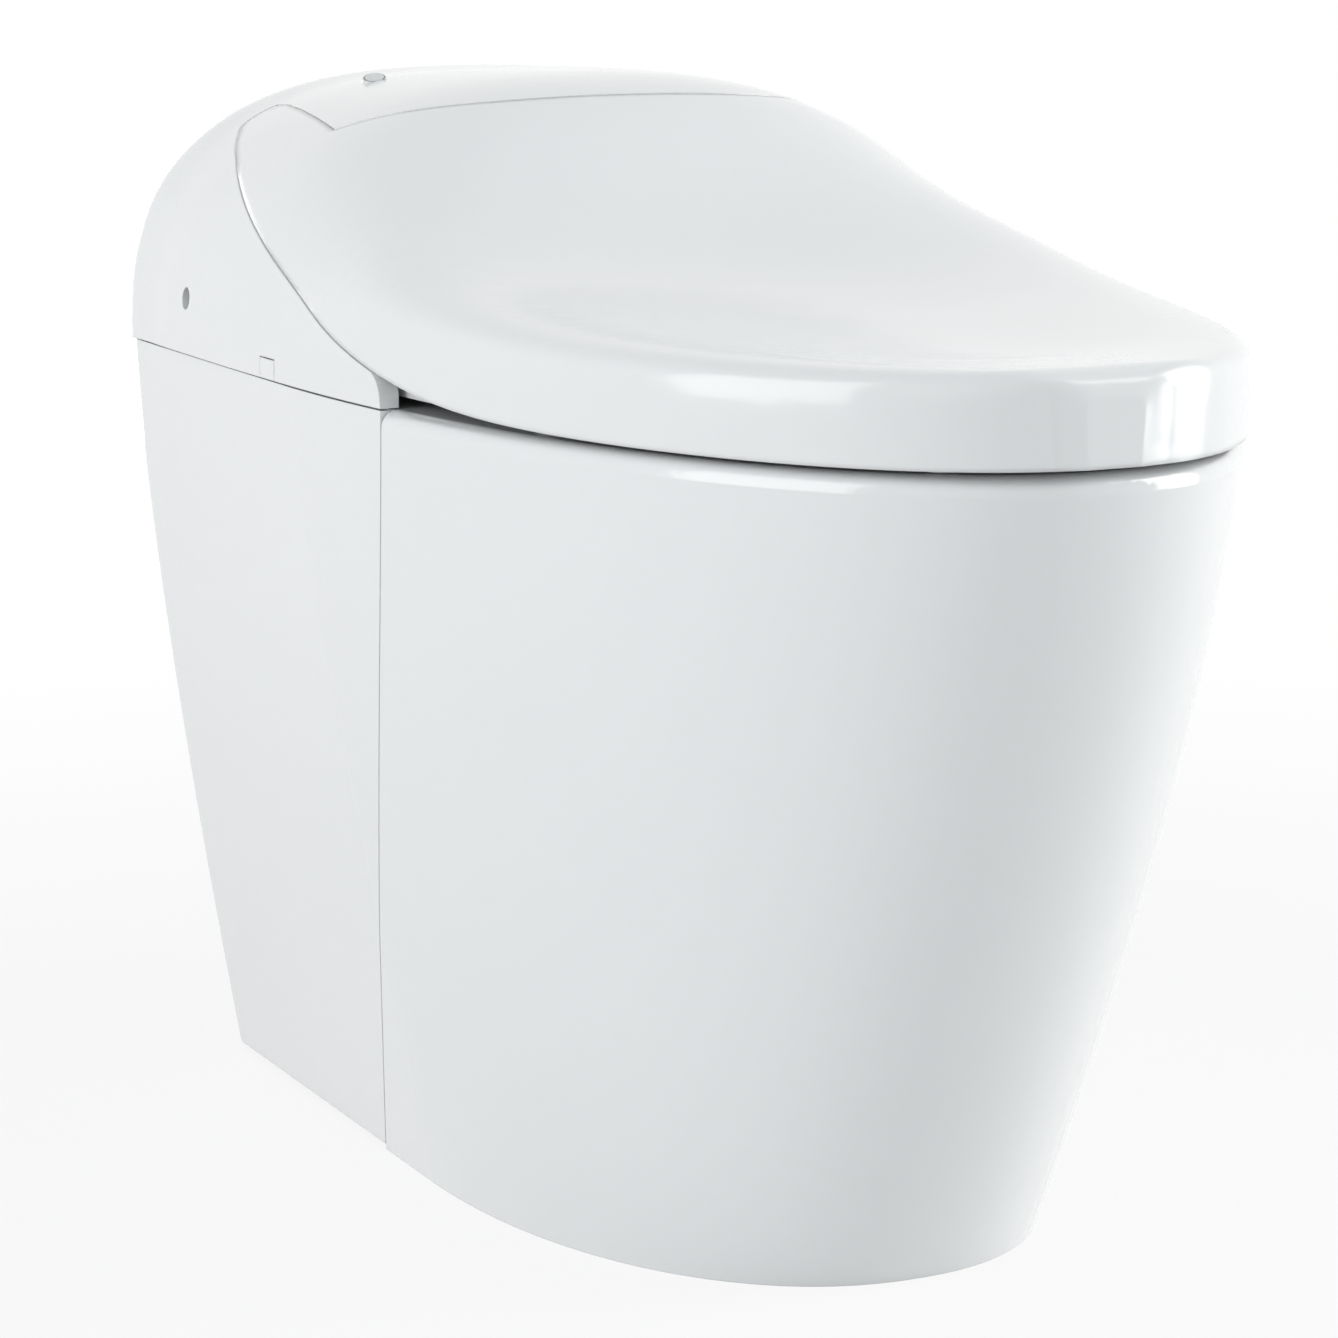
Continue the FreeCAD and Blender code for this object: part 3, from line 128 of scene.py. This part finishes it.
china_glaze = hard_finish("china_glaze", (0.85, 0.862, 0.868, 1), (0.83, 0.845, 0.853, 1), roughness=0.09,
                          spread=0.05, grain_scale=260.0, grain=0.05, coat=0.8, edge=0.0012)
finish_nodes(china_glaze, "pedestal", "bowl", "trapway")


# Water in the bowl, standing at the height of the trapway's weir.
# It is clear, with a raised edge where it wets the china.

def new_piece(name, points, faces, material, body):
    """A mesh object that rides on a body."""
    mesh = bpy.data.meshes.new(name)
    mesh.from_pydata(points, [], faces)
    mesh.validate()
    shaper = bmesh.new()
    shaper.from_mesh(mesh)
    bmesh.ops.recalc_face_normals(shaper, faces=shaper.faces)
    shaper.to_mesh(mesh)
    shaper.free()
    mesh.materials.append(material)
    for face in mesh.polygons:
        face.use_smooth = True
    piece = bpy.data.objects.new(name, mesh)
    bpy.context.scene.collection.objects.link(piece)
    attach(piece, body)
    return piece


def water_finish():
    material, wire, output = blank_material("bowl_water")
    place = wire.node("TexCoord", output="Object")
    ripple = wire.node("TexNoise", {}, {"Vector": place, "Scale": 22.0, "Detail": 2.0})
    bump = wire.node("Bump", {}, {"Strength": 0.2, "Distance": 0.001, "Height": ripple})
    tint = wire.blend(ripple, (0.72, 0.82, 0.84, 1), (0.8, 0.88, 0.9, 1))
    shader = wire.node("BsdfPrincipled", {}, {
        "Base Color": tint, "Roughness": 0.02 + 0.02 * ripple, "Normal": bump,
        "IOR": 1.33, "Transmission Weight": 0.75,
    })
    shader.cover(output)
    return material


WATER_HEIGHT = 0.249
WATER_MIDDLE_Y = -0.0711
WATER_HALF_WIDTH = 0.1010
WATER_HALF_LENGTH = 0.1524
water_points = [(0, WATER_MIDDLE_Y, WATER_HEIGHT)]
water_faces = []
WATER_RINGS = 24
WATER_STEPS = 96
EDGE_RISE = 0.0012
EDGE_SHARPNESS = 40
WAVE_RISE = 0.00015
WAVE_RATE = 26
for ring in range(1, WATER_RINGS + 1):
    share = ring / WATER_RINGS
    rise = EDGE_RISE * share ** EDGE_SHARPNESS + WAVE_RISE * math.sin(WAVE_RATE * share)
    for step in range(WATER_STEPS):
        angle = 2 * math.pi * step / WATER_STEPS
        water_points.append((WATER_HALF_WIDTH * share * math.cos(angle),
                             WATER_MIDDLE_Y + WATER_HALF_LENGTH * share * math.sin(angle),
                             WATER_HEIGHT + rise))
for step in range(WATER_STEPS):
    after = (step + 1) % WATER_STEPS
    water_faces.append((0, 1 + step, 1 + after))
    for ring in range(WATER_RINGS - 1):
        low = 1 + ring * WATER_STEPS
        high = low + WATER_STEPS
        water_faces.append((low + step, high + step, high + after, low + after))
new_piece("bowl_water", water_points, water_faces, water_finish(), "base")


# Outlet seal: a moulded ring of black rubber pressed between the outlet horn and the floor flange.
# Its skin is matt, with the fine texture and the bloom of moulded rubber.

def rubber_finish(name, pale, deep, roughness, grain_scale):
    material, wire, output = blank_material(name)
    place = wire.node("TexCoord", output="Object")
    bloom = wire.node("TexNoise", {}, {"Vector": place, "Scale": 40.0, "Detail": 4.0})
    skin = wire.node("TexNoise", {}, {"Vector": place, "Scale": grain_scale, "Detail": 2.0})
    tint = wire.blend(bloom, deep, pale)
    softened = wire.node("Bevel", {"samples": 4}, {"Radius": 0.0008})
    bump = wire.node("Bump", {}, {"Strength": 0.3, "Distance": 0.0002, "Height": skin, "Normal": softened})
    shader = wire.node("BsdfPrincipled", {}, {
        "Base Color": tint, "Roughness": roughness + 0.12 * bloom, "Normal": bump, "IOR": 1.45,
    })
    shader.cover(output)
    return material


seal_rubber = rubber_finish("seal_rubber", (0.055, 0.055, 0.057, 1), (0.03, 0.03, 0.032, 1),
                            roughness=0.55, grain_scale=900.0)
finish_nodes(seal_rubber, "outlet_seal")


# Floor brackets: angles pressed from zinc-plated steel sheet, behind the china, with hex flange screws.
# The plating is bright, brushed along the sheet and a little cloudy.

def metal_finish(name, pale, deep, roughness, stretch):
    material, wire, output = blank_material(name)
    place = wire.node("TexCoord", output="Object")
    drawn = wire.node("Mapping", {}, {"Vector": place, "Scale": stretch})
    brush = wire.node("TexNoise", {}, {"Vector": drawn, "Scale": 60.0, "Detail": 4.0})
    cloud = wire.node("TexNoise", {}, {"Vector": place, "Scale": 35.0, "Detail": 3.0})
    tint = wire.blend(cloud, deep, pale)
    softened = wire.node("Bevel", {"samples": 4}, {"Radius": 0.0004})
    bump = wire.node("Bump", {}, {"Strength": 0.15, "Distance": 0.0001, "Height": brush, "Normal": softened})
    shader = wire.node("BsdfPrincipled", {}, {
        "Base Color": tint, "Roughness": roughness + 0.15 * brush, "Normal": bump, "Metallic": 1.0,
    })
    shader.cover(output)
    return material


plated_steel = metal_finish("plated_steel", (0.72, 0.73, 0.74, 1), (0.6, 0.61, 0.63, 1),
                            roughness=0.24, stretch=(3, 3, 60))
finish_nodes(plated_steel, "floor_bracket_right", "floor_bracket_left")


def turned(profile, steps, base, axis):
    """Points and faces of a profile of radius and height turned about an axis."""
    frame_of = Vector(axis).to_track_quat("Z", "Y").to_matrix()
    points = []
    for radius, height in profile:
        for step in range(steps):
            angle = 2 * math.pi * step / steps
            spot = Vector((radius * math.cos(angle), radius * math.sin(angle), height))
            points.append(tuple(Vector(base) + frame_of @ spot))
    faces = []
    for ring in range(len(profile) - 1):
        low = ring * steps
        high = low + steps
        for step in range(steps):
            after = (step + 1) % steps
            faces.append((low + step, low + after, high + after, high + step))
    faces.append(tuple(range(steps)))
    faces.append(tuple(reversed(range(len(points) - steps, len(points)))))
    return points, faces


def flange_screw(node):
    """Hex head over a flange, seen from behind, in place of a plain screw head."""
    low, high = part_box(node)
    middle = (low + high) / 2
    base = (middle.x, low.y, middle.z)
    radius = (high.x - low.x) / 2
    tall = high.y - low.y
    rim = [(radius * 0.98, 0), (radius, 0.0003), (radius, 0.0008), (radius * 0.93, 0.0012),
           (radius * 0.8, 0.0014)]
    points, faces = turned(rim, 36, base, (0, 1, 0))
    hexagon = [(radius * 0.78, 0.0012), (radius * 0.78, tall - 0.0004), (radius * 0.68, tall),
               (radius * 0.3, tall), (radius * 0.24, tall - 0.0003)]
    hex_points, hex_faces = turned(hexagon, 6, base, (0, 1, 0))
    faces += [tuple(index + len(points) for index in face) for face in hex_faces]
    head = new_piece(node + "_head", points + hex_points, faces, plated_steel, "base")
    for face in head.data.polygons:
        face.use_smooth = len(face.vertices) == 4 and face.area < 2e-6
    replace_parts(head, node)


flange_screw("bracket_screw_right")
flange_screw("bracket_screw_left")


# Side panels: covers moulded in gloss white plastic that clip on behind the leaning seam.
# Polished moulds leave a wet gloss with the faintest ripple in it.

def gloss_finish(name, edge):
    return hard_finish(name, (0.855, 0.865, 0.87, 1), (0.84, 0.852, 0.86, 1), roughness=0.13,
                       spread=0.05, grain_scale=420.0, grain=0.03, coat=0.6, edge=edge)


gloss_white = gloss_finish("gloss_white", 0.0009)
finish_nodes(gloss_white, "side_panel_right", "side_panel_left")


# Water supply: a valve block with a brass spigot that carries a half-inch pipe thread.
# The thread is rolled, so that its crests are round and brighter than its roots.

housing_pale = hard_finish("housing_pale", (0.62, 0.63, 0.62, 1), (0.56, 0.57, 0.565, 1), roughness=0.38,
                           spread=0.12, grain_scale=1500.0, grain=0.25, coat=0.0, edge=0.0008)
finish_nodes(housing_pale, "inlet_valve")
brass = metal_finish("brass", (0.78, 0.57, 0.25, 1), (0.66, 0.46, 0.19, 1),
                     roughness=0.22, stretch=(4, 4, 40))
spigot_low, spigot_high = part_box("supply_spigot")
spigot_radius = (spigot_high.x - spigot_low.x) / 2
spigot_length = spigot_high.z - spigot_low.z
SPIGOT_BORE = 0.007
THREAD_PITCH = 0.0018
THREAD_DEPTH = 0.0011
THREAD_START = 0.001
THREAD_SHARE = 0.62
STEPS_PER_PITCH = 8
thread = []
turns = int(spigot_length * THREAD_SHARE / THREAD_PITCH)
for count in range(STEPS_PER_PITCH * turns + 1):
    height = THREAD_START + THREAD_PITCH * count / STEPS_PER_PITCH
    wave = 0.5 - 0.5 * math.cos(2 * math.pi * count / STEPS_PER_PITCH)
    thread.append((spigot_radius - THREAD_DEPTH * (1 - wave), height))
spigot_profile = [(SPIGOT_BORE, 0.03), (SPIGOT_BORE, 0.0008), (SPIGOT_BORE + 0.0008, 0),
                  (spigot_radius - 0.0016, 0)] + thread
thread_end = thread[-1][1]
spigot_profile += [(spigot_radius - 0.0012, thread_end + 0.001), (spigot_radius, thread_end + 0.002),
                   (spigot_radius, spigot_length), (spigot_radius - 0.002, spigot_length)]
spigot_base = ((spigot_low.x + spigot_high.x) / 2, (spigot_low.y + spigot_high.y) / 2, spigot_low.z)
spigot_points, spigot_faces = turned(spigot_profile, 48, spigot_base, (0, 0, 1))
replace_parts(new_piece("supply_spigot_thread", spigot_points, spigot_faces, brass, "base"),
            "supply_spigot")


# Cord gland: a grey plastic boss with ribs, screwed into the china's rear wall.
# Its socket takes a round supply cord.

frame_grey = hard_finish("frame_grey", (0.30, 0.31, 0.32, 1), (0.25, 0.26, 0.27, 1), roughness=0.42,
                         spread=0.14, grain_scale=1800.0, grain=0.35, coat=0.0, edge=0.0006)
gland_low, gland_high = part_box("cord_gland")
gland_radius = (gland_high.x - gland_low.x) / 2
gland_length = gland_high.y - gland_low.y
GLAND_BORE = 0.0035
GLAND_RIBS = 5
RIB_START = 0.0044
RIB_PITCH = 0.002
gland_profile = [(gland_radius - 0.001, 0), (gland_radius, 0.0006), (gland_radius, 0.0034),
                 (gland_radius - 0.0008, 0.004)]
for rib in range(GLAND_RIBS):
    foot = RIB_START + RIB_PITCH * rib
    gland_profile += [(gland_radius - 0.0022, foot), (gland_radius - 0.001, foot + 0.0005),
                      (gland_radius - 0.001, foot + 0.0012), (gland_radius - 0.0022, foot + 0.0017)]
gland_profile += [(gland_radius - 0.0024, gland_length - 0.001), (gland_radius - 0.0032, gland_length),
                  (GLAND_BORE + 0.0008, gland_length), (GLAND_BORE, gland_length - 0.0008),
                  (GLAND_BORE, gland_length - 0.012)]
gland_base = ((gland_low.x + gland_high.x) / 2, gland_low.y, (gland_low.z + gland_high.z) / 2)
gland_points, gland_faces = turned(gland_profile, 48, gland_base, (0, 1, 0))
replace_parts(new_piece("cord_gland_ribs", gland_points, gland_faces, frame_grey, "base"),
            "cord_gland")


# Chassis: a white, glass-filled, satin moulding that carries the hinges, the housings and the covers.
# Inside it stand the heater, the valve, the drives, the supply, the cartridge and the control board.

satin_white = hard_finish("satin_white", (0.82, 0.83, 0.835, 1), (0.79, 0.80, 0.81, 1), roughness=0.3,
                          spread=0.1, grain_scale=1300.0, grain=0.18, coat=0.0, edge=0.0008)
finish_nodes(satin_white, "unit_chassis")
finish_nodes(housing_pale, "water_heater", "flush_valve", "power_supply", "deodoriser_cartridge",
             "lid_drive", "seat_drive", "wand_motor", "dryer_motor")


def board_finish():
    material, wire, output = blank_material("board_green")
    place = wire.node("TexCoord", output="Object")
    tracks = wire.node("TexBrick", {"offset": 0.35}, {
        "Vector": place, "Scale": 160.0, "Mortar Size": 0.05, "Color1": (0.02, 0.13, 0.06, 1),
        "Color2": (0.02, 0.16, 0.075, 1), "Mortar": (0.05, 0.26, 0.12, 1)})
    cloud = wire.node("TexNoise", {}, {"Vector": place, "Scale": 50.0, "Detail": 3.0})
    shader = wire.node("BsdfPrincipled", {}, {
        "Base Color": tracks, "Roughness": 0.25 + 0.15 * cloud, "IOR": 1.5, "Coat Weight": 0.3,
    })
    shader.cover(output)
    return material


finish_nodes(board_finish(), "control_board")


# Tower cover: one gloss white moulding over the chassis, with the top plate between the lid's ears.
# It is the same plastic as the panels, from a polished mould.

finish_nodes(gloss_white, "tower_cover", "release_button")


# Presence sensor: a round window of pale smoked plastic on the top plate, tilted forward to see who comes.
# A thin grey gasket holds the window in a low white collar; its grey also paints the shade of the gap around
# the window.

FACING_UP = 0.7
roof = [face for face in nodes["sensor_window"].data.polygons if face.normal.z > FACING_UP]
roof_area = sum(face.area for face in roof)
roof_middle = sum((face.center * face.area for face in roof), Vector()) / roof_area
roof_normal = sum((face.normal * face.area for face in roof), Vector()).normalized()
WINDOW_RADIUS = 0.0051
WINDOW_LIFT = 0.0019
WINDOW_TILT = math.radians(20)
WINDOW_ROOT = -0.0045
window_middle = roof_middle + roof_normal * WINDOW_LIFT
window_axis = Matrix.Rotation(WINDOW_TILT, 3, "X") @ roof_normal

sensor_grey = hard_finish("sensor_grey", (0.74, 0.76, 0.77, 1), (0.66, 0.68, 0.69, 1), roughness=0.12,
                          spread=0.06, grain_scale=700.0, grain=0.05, coat=0.3, edge=0.0004)
window_profile = [(0.0004, 0.0003), (0.002, 0.00026), (0.004, 0.0001), (WINDOW_RADIUS - 0.0004, 0),
                  (WINDOW_RADIUS - 0.0001, -0.0001), (WINDOW_RADIUS, -0.0004), (WINDOW_RADIUS, WINDOW_ROOT)]
window_points, window_faces = turned(window_profile, 64, window_middle, window_axis)
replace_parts(new_piece("sensor_lens", window_points, window_faces, sensor_grey, "base"),
            "sensor_window")

RIM_RADIUS = 0.0056
# Gasket grey: partly the rubber's own colour, partly painted shade of the gap between the window and the
# collar.
rim_rubber_and_gap_shade = rubber_finish("rim_rubber_and_gap_shade", (0.40, 0.41, 0.42, 1), (0.32, 0.33, 0.34, 1),
                           roughness=0.4, grain_scale=900.0)
rim_profile = [(WINDOW_RADIUS, WINDOW_ROOT), (WINDOW_RADIUS, -0.0004), (WINDOW_RADIUS + 0.0002, -0.0002),
               (RIM_RADIUS - 0.0001, -0.0003), (RIM_RADIUS, -0.0006), (RIM_RADIUS, WINDOW_ROOT)]
rim_points, rim_faces = turned(rim_profile, 64, window_middle, window_axis)
new_piece("sensor_rim", rim_points, rim_faces[:-2], rim_rubber_and_gap_shade, "base")

COLLAR_RADIUS = 0.0068
collar_profile = [(RIM_RADIUS, WINDOW_ROOT), (RIM_RADIUS, -0.0005), (RIM_RADIUS + 0.0003, -0.0003),
                  (RIM_RADIUS + 0.0007, -0.0006), (COLLAR_RADIUS - 0.0003, -0.0016),
                  (COLLAR_RADIUS, -0.003), (COLLAR_RADIUS, WINDOW_ROOT)]
collar_points, collar_faces = turned(collar_profile, 64, window_middle, window_axis)
new_piece("sensor_collar", collar_points, collar_faces[:-2], gloss_white, "base")


# Side screws: cross-recessed steel screws deep in round holes of the tower's sides.
# They hold the cover to posts on the chassis.

def cross_screw(node, outward):
    """Pan head with a cross recess, in place of a plain head, and the shank behind it."""
    head_steps = 36
    low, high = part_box(node)
    middle = (low + high) / 2
    radius = (high.z - low.z) / 2
    face_x = low.x if outward < 0 else high.x
    back_x = high.x if outward < 0 else low.x
    shaper = bmesh.new()
    arm = radius * 0.55
    half = radius * 0.13
    outline = [(arm, half), (half, half), (half, arm), (-half, arm), (-half, half), (-arm, half),
               (-arm, -half), (-half, -half), (-half, -arm), (half, -arm), (half, -half), (arm, -half)]

    def ring(places, depth):
        return [shaper.verts.new((face_x - outward * depth, middle.y + across, middle.z + along))
                for across, along in places]

    def circle(share):
        angles = [2 * math.pi * step / head_steps for step in range(head_steps)]
        return [(radius * share * math.cos(angle), radius * share * math.sin(angle)) for angle in angles]

    def loop_edges(loop):
        return [shaper.edges.get((first, second)) or shaper.edges.new((first, second))
                for first, second in zip(loop, loop[1:] + loop[:1])]

    def band(first, second):
        for index in range(len(first)):
            after = (index + 1) % len(first)
            shaper.faces.new((first[index], first[after], second[after], second[index]))

    top = ring(circle(0.9), 0)
    recess = ring(outline, 0)
    bmesh.ops.triangle_fill(shaper, edges=loop_edges(top) + loop_edges(recess), use_beauty=True)
    floor = ring([(across * 0.7, along * 0.7) for across, along in outline], 0.0022)
    band(recess, floor)
    shaper.faces.new(floor)
    rim = ring(circle(0.98), 0.0004)
    band(top, rim)
    side = ring(circle(0.98), 0.006)
    band(rim, side)
    neck = ring(circle(0.35), 0.0064)
    band(side, neck)
    end = ring(circle(0.35), abs(back_x - face_x) - 0.0004)
    band(neck, end)
    shaper.faces.new(end)
    mesh = bpy.data.meshes.new(node + "_cross")
    shaper.to_mesh(mesh)
    shaper.free()
    points = [tuple(vertex.co) for vertex in mesh.vertices]
    faces = [tuple(face.vertices) for face in mesh.polygons]
    bpy.data.meshes.remove(mesh)
    screw = new_piece(node + "_head", points, faces, plated_steel, "base")
    for face in screw.data.polygons:
        face.use_smooth = False
    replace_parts(screw, node)


cross_screw("side_screw_right", -1)
cross_screw("side_screw_left", 1)


# Front casing: the satin white wall behind the seat, with mouths for the wand and the warm air.
# The dryer's scroll and duct behind it are grey, its flap is white and drops shut by its own weight.

finish_nodes(satin_white, "front_casing", "dryer_flap")
finish_nodes(frame_grey, "dryer_housing", "dryer_impeller")


# Wash wand: a white tube and a removable tip with a spray hole, on a grey rack, in a grey guide.
# The tube is extruded and polished, and the tip is moulded.

finish_nodes(gloss_white, "wand_tube", "wand_tip")
finish_nodes(frame_grey, "wand_rack", "wand_guide")


# Seat: a gloss white ring welded to a satin base ring, with steel hinge pins and pale rubber feet.
# The ring is warm to the touch; its upper edge is rounded.

finish_nodes(gloss_white, "seat_ring")
finish_nodes(satin_white, "seat_base")
buffer_rubber = rubber_finish("buffer_rubber", (0.66, 0.66, 0.65, 1), (0.58, 0.58, 0.57, 1),
                              roughness=0.5, grain_scale=1100.0)
PLACES = ("front_right", "front_left", "side_right", "side_left")
finish_nodes(buffer_rubber, *["seat_buffer_" + place for place in PLACES])
pin_steel = metal_finish("pin_steel", (0.68, 0.69, 0.7, 1), (0.58, 0.59, 0.6, 1),
                         roughness=0.16, stretch=(60, 3, 3))
finish_nodes(pin_steel, "seat_pin_right", "seat_pin_left")


# Lid: a gloss white shell whose ears run back to the hinge, lined with a thin satin panel.
# Four pale buffers under it rest on the seat.

LID_EDGE = 0.004
finish_nodes(gloss_finish("lid_gloss", LID_EDGE), "lid_shell")
finish_nodes(satin_white, "lid_liner")
finish_nodes(buffer_rubber, *["lid_buffer_" + place for place in PLACES])
finish_nodes(pin_steel, "lid_pin_right", "lid_pin_left")


# Studio: a pale seamless floor under soft boxes, seen from the front right at hip height.
# The floor turns white with distance, and near the object it keeps the soft shadow.

def backdrop_rays(wire):
    """1 for the rays that should find a white backdrop: to the camera, and by way of gloss or glass."""
    return (wire.node("LightPath", output="Is Camera Ray") + wire.node("LightPath", output="Is Glossy Ray")
            + wire.node("LightPath", output="Is Transmission Ray"))


floor_material, floor_wire, floor_output = blank_material("studio_floor")
spot = floor_wire.node("NewGeometry", output="Position")
away = floor_wire.node("VectorMath", {"operation": "LENGTH"}, {0: spot}, output="Value")
far_share = floor_wire.node("MapRange", {"interpolation_type": "SMOOTHSTEP"}, {
    "Value": away, "From Min": 0.45, "From Max": 1.6, "To Min": 0.86, "To Max": 1.0})
floor_seen = backdrop_rays(floor_wire)
floor_base = floor_wire.node("BsdfDiffuse", {}, {"Color": (0.74, 0.74, 0.74, 1)})
floor_glow = floor_wire.node("Emission", {}, {"Color": (1, 1, 1, 1), "Strength": 1.0})
floor_mixed = floor_wire.node("MixShader", {}, {0: floor_seen * far_share, 1: floor_base, 2: floor_glow})
floor_mixed.cover(floor_output)

floor_mesh = bpy.data.meshes.new("floor")
FLOOR_HALF = 6
floor_corners = [(-FLOOR_HALF, -FLOOR_HALF, 0), (FLOOR_HALF, -FLOOR_HALF, 0),
                 (FLOOR_HALF, FLOOR_HALF, 0), (-FLOOR_HALF, FLOOR_HALF, 0)]
floor_mesh.from_pydata(floor_corners, [], [(0, 1, 2, 3)])
floor_mesh.materials.append(floor_material)
floor = bpy.data.objects.new("floor", floor_mesh)
bpy.context.scene.collection.objects.link(floor)

world = bpy.data.worlds.new("studio")
bpy.context.scene.world = world
world.use_nodes = True
world.node_tree.nodes.clear()
sky = Wire(world.node_tree)
sky_out = world.node_tree.nodes.new("ShaderNodeOutputWorld")
fill = sky.node("Background", {}, {"Color": (0.95, 0.985, 1, 1), "Strength": 0.5})
white = sky.node("Background", {}, {"Color": (1, 1, 1, 1), "Strength": 1.0})
sky.node("MixShader", {}, {0: backdrop_rays(sky), 1: fill, 2: white}).cover(sky_out)


def soft_box(name, place, aim, width, height, watts):
    data = bpy.data.lights.new(name, "AREA")
    data.shape = "RECTANGLE"
    data.size = width
    data.size_y = height
    data.energy = watts
    lamp = bpy.data.objects.new(name, data)
    lamp.location = place
    lamp.rotation_euler = (Vector(aim) - Vector(place)).to_track_quat("-Z", "Y").to_euler()
    bpy.context.scene.collection.objects.link(lamp)


soft_box("left_box", (-2.25, -0.3, 1.0), (0, 0, 0.35), 1.6, 2.2, 23)
soft_box("right_box", (2.1, -1.0, 0.9), (0, 0, 0.35), 1.2, 2.4, 38)
soft_box("front_box", (-1.6, -2.8, 1.3), (0, 0, 0.3), 2.8, 2.4, 5)
soft_box("strip_box", (1.3, -1.6, 2.3), (0, -0.3, 0.4), 0.35, 0.9, 3)
soft_box("rear_box", (0.1, 2.6, 0.3), (0, 0.3, 0.3), 1.0, 0.6, 5)

camera_data = bpy.data.cameras.new("camera")
camera_data.sensor_width = 36.0
camera_data.lens = 119.28
CAMERA_DIP = 10.5466
CAMERA_TURN = -26.5965
camera = bpy.data.objects.new("camera", camera_data)
camera.location = (-0.9861, -1.8995, 0.6546)
camera.rotation_euler = (math.radians(90 - CAMERA_DIP), 0, math.radians(CAMERA_TURN))
bpy.context.scene.collection.objects.link(camera)
bpy.context.scene.camera = camera
bpy.context.scene.view_settings.view_transform = "Standard"
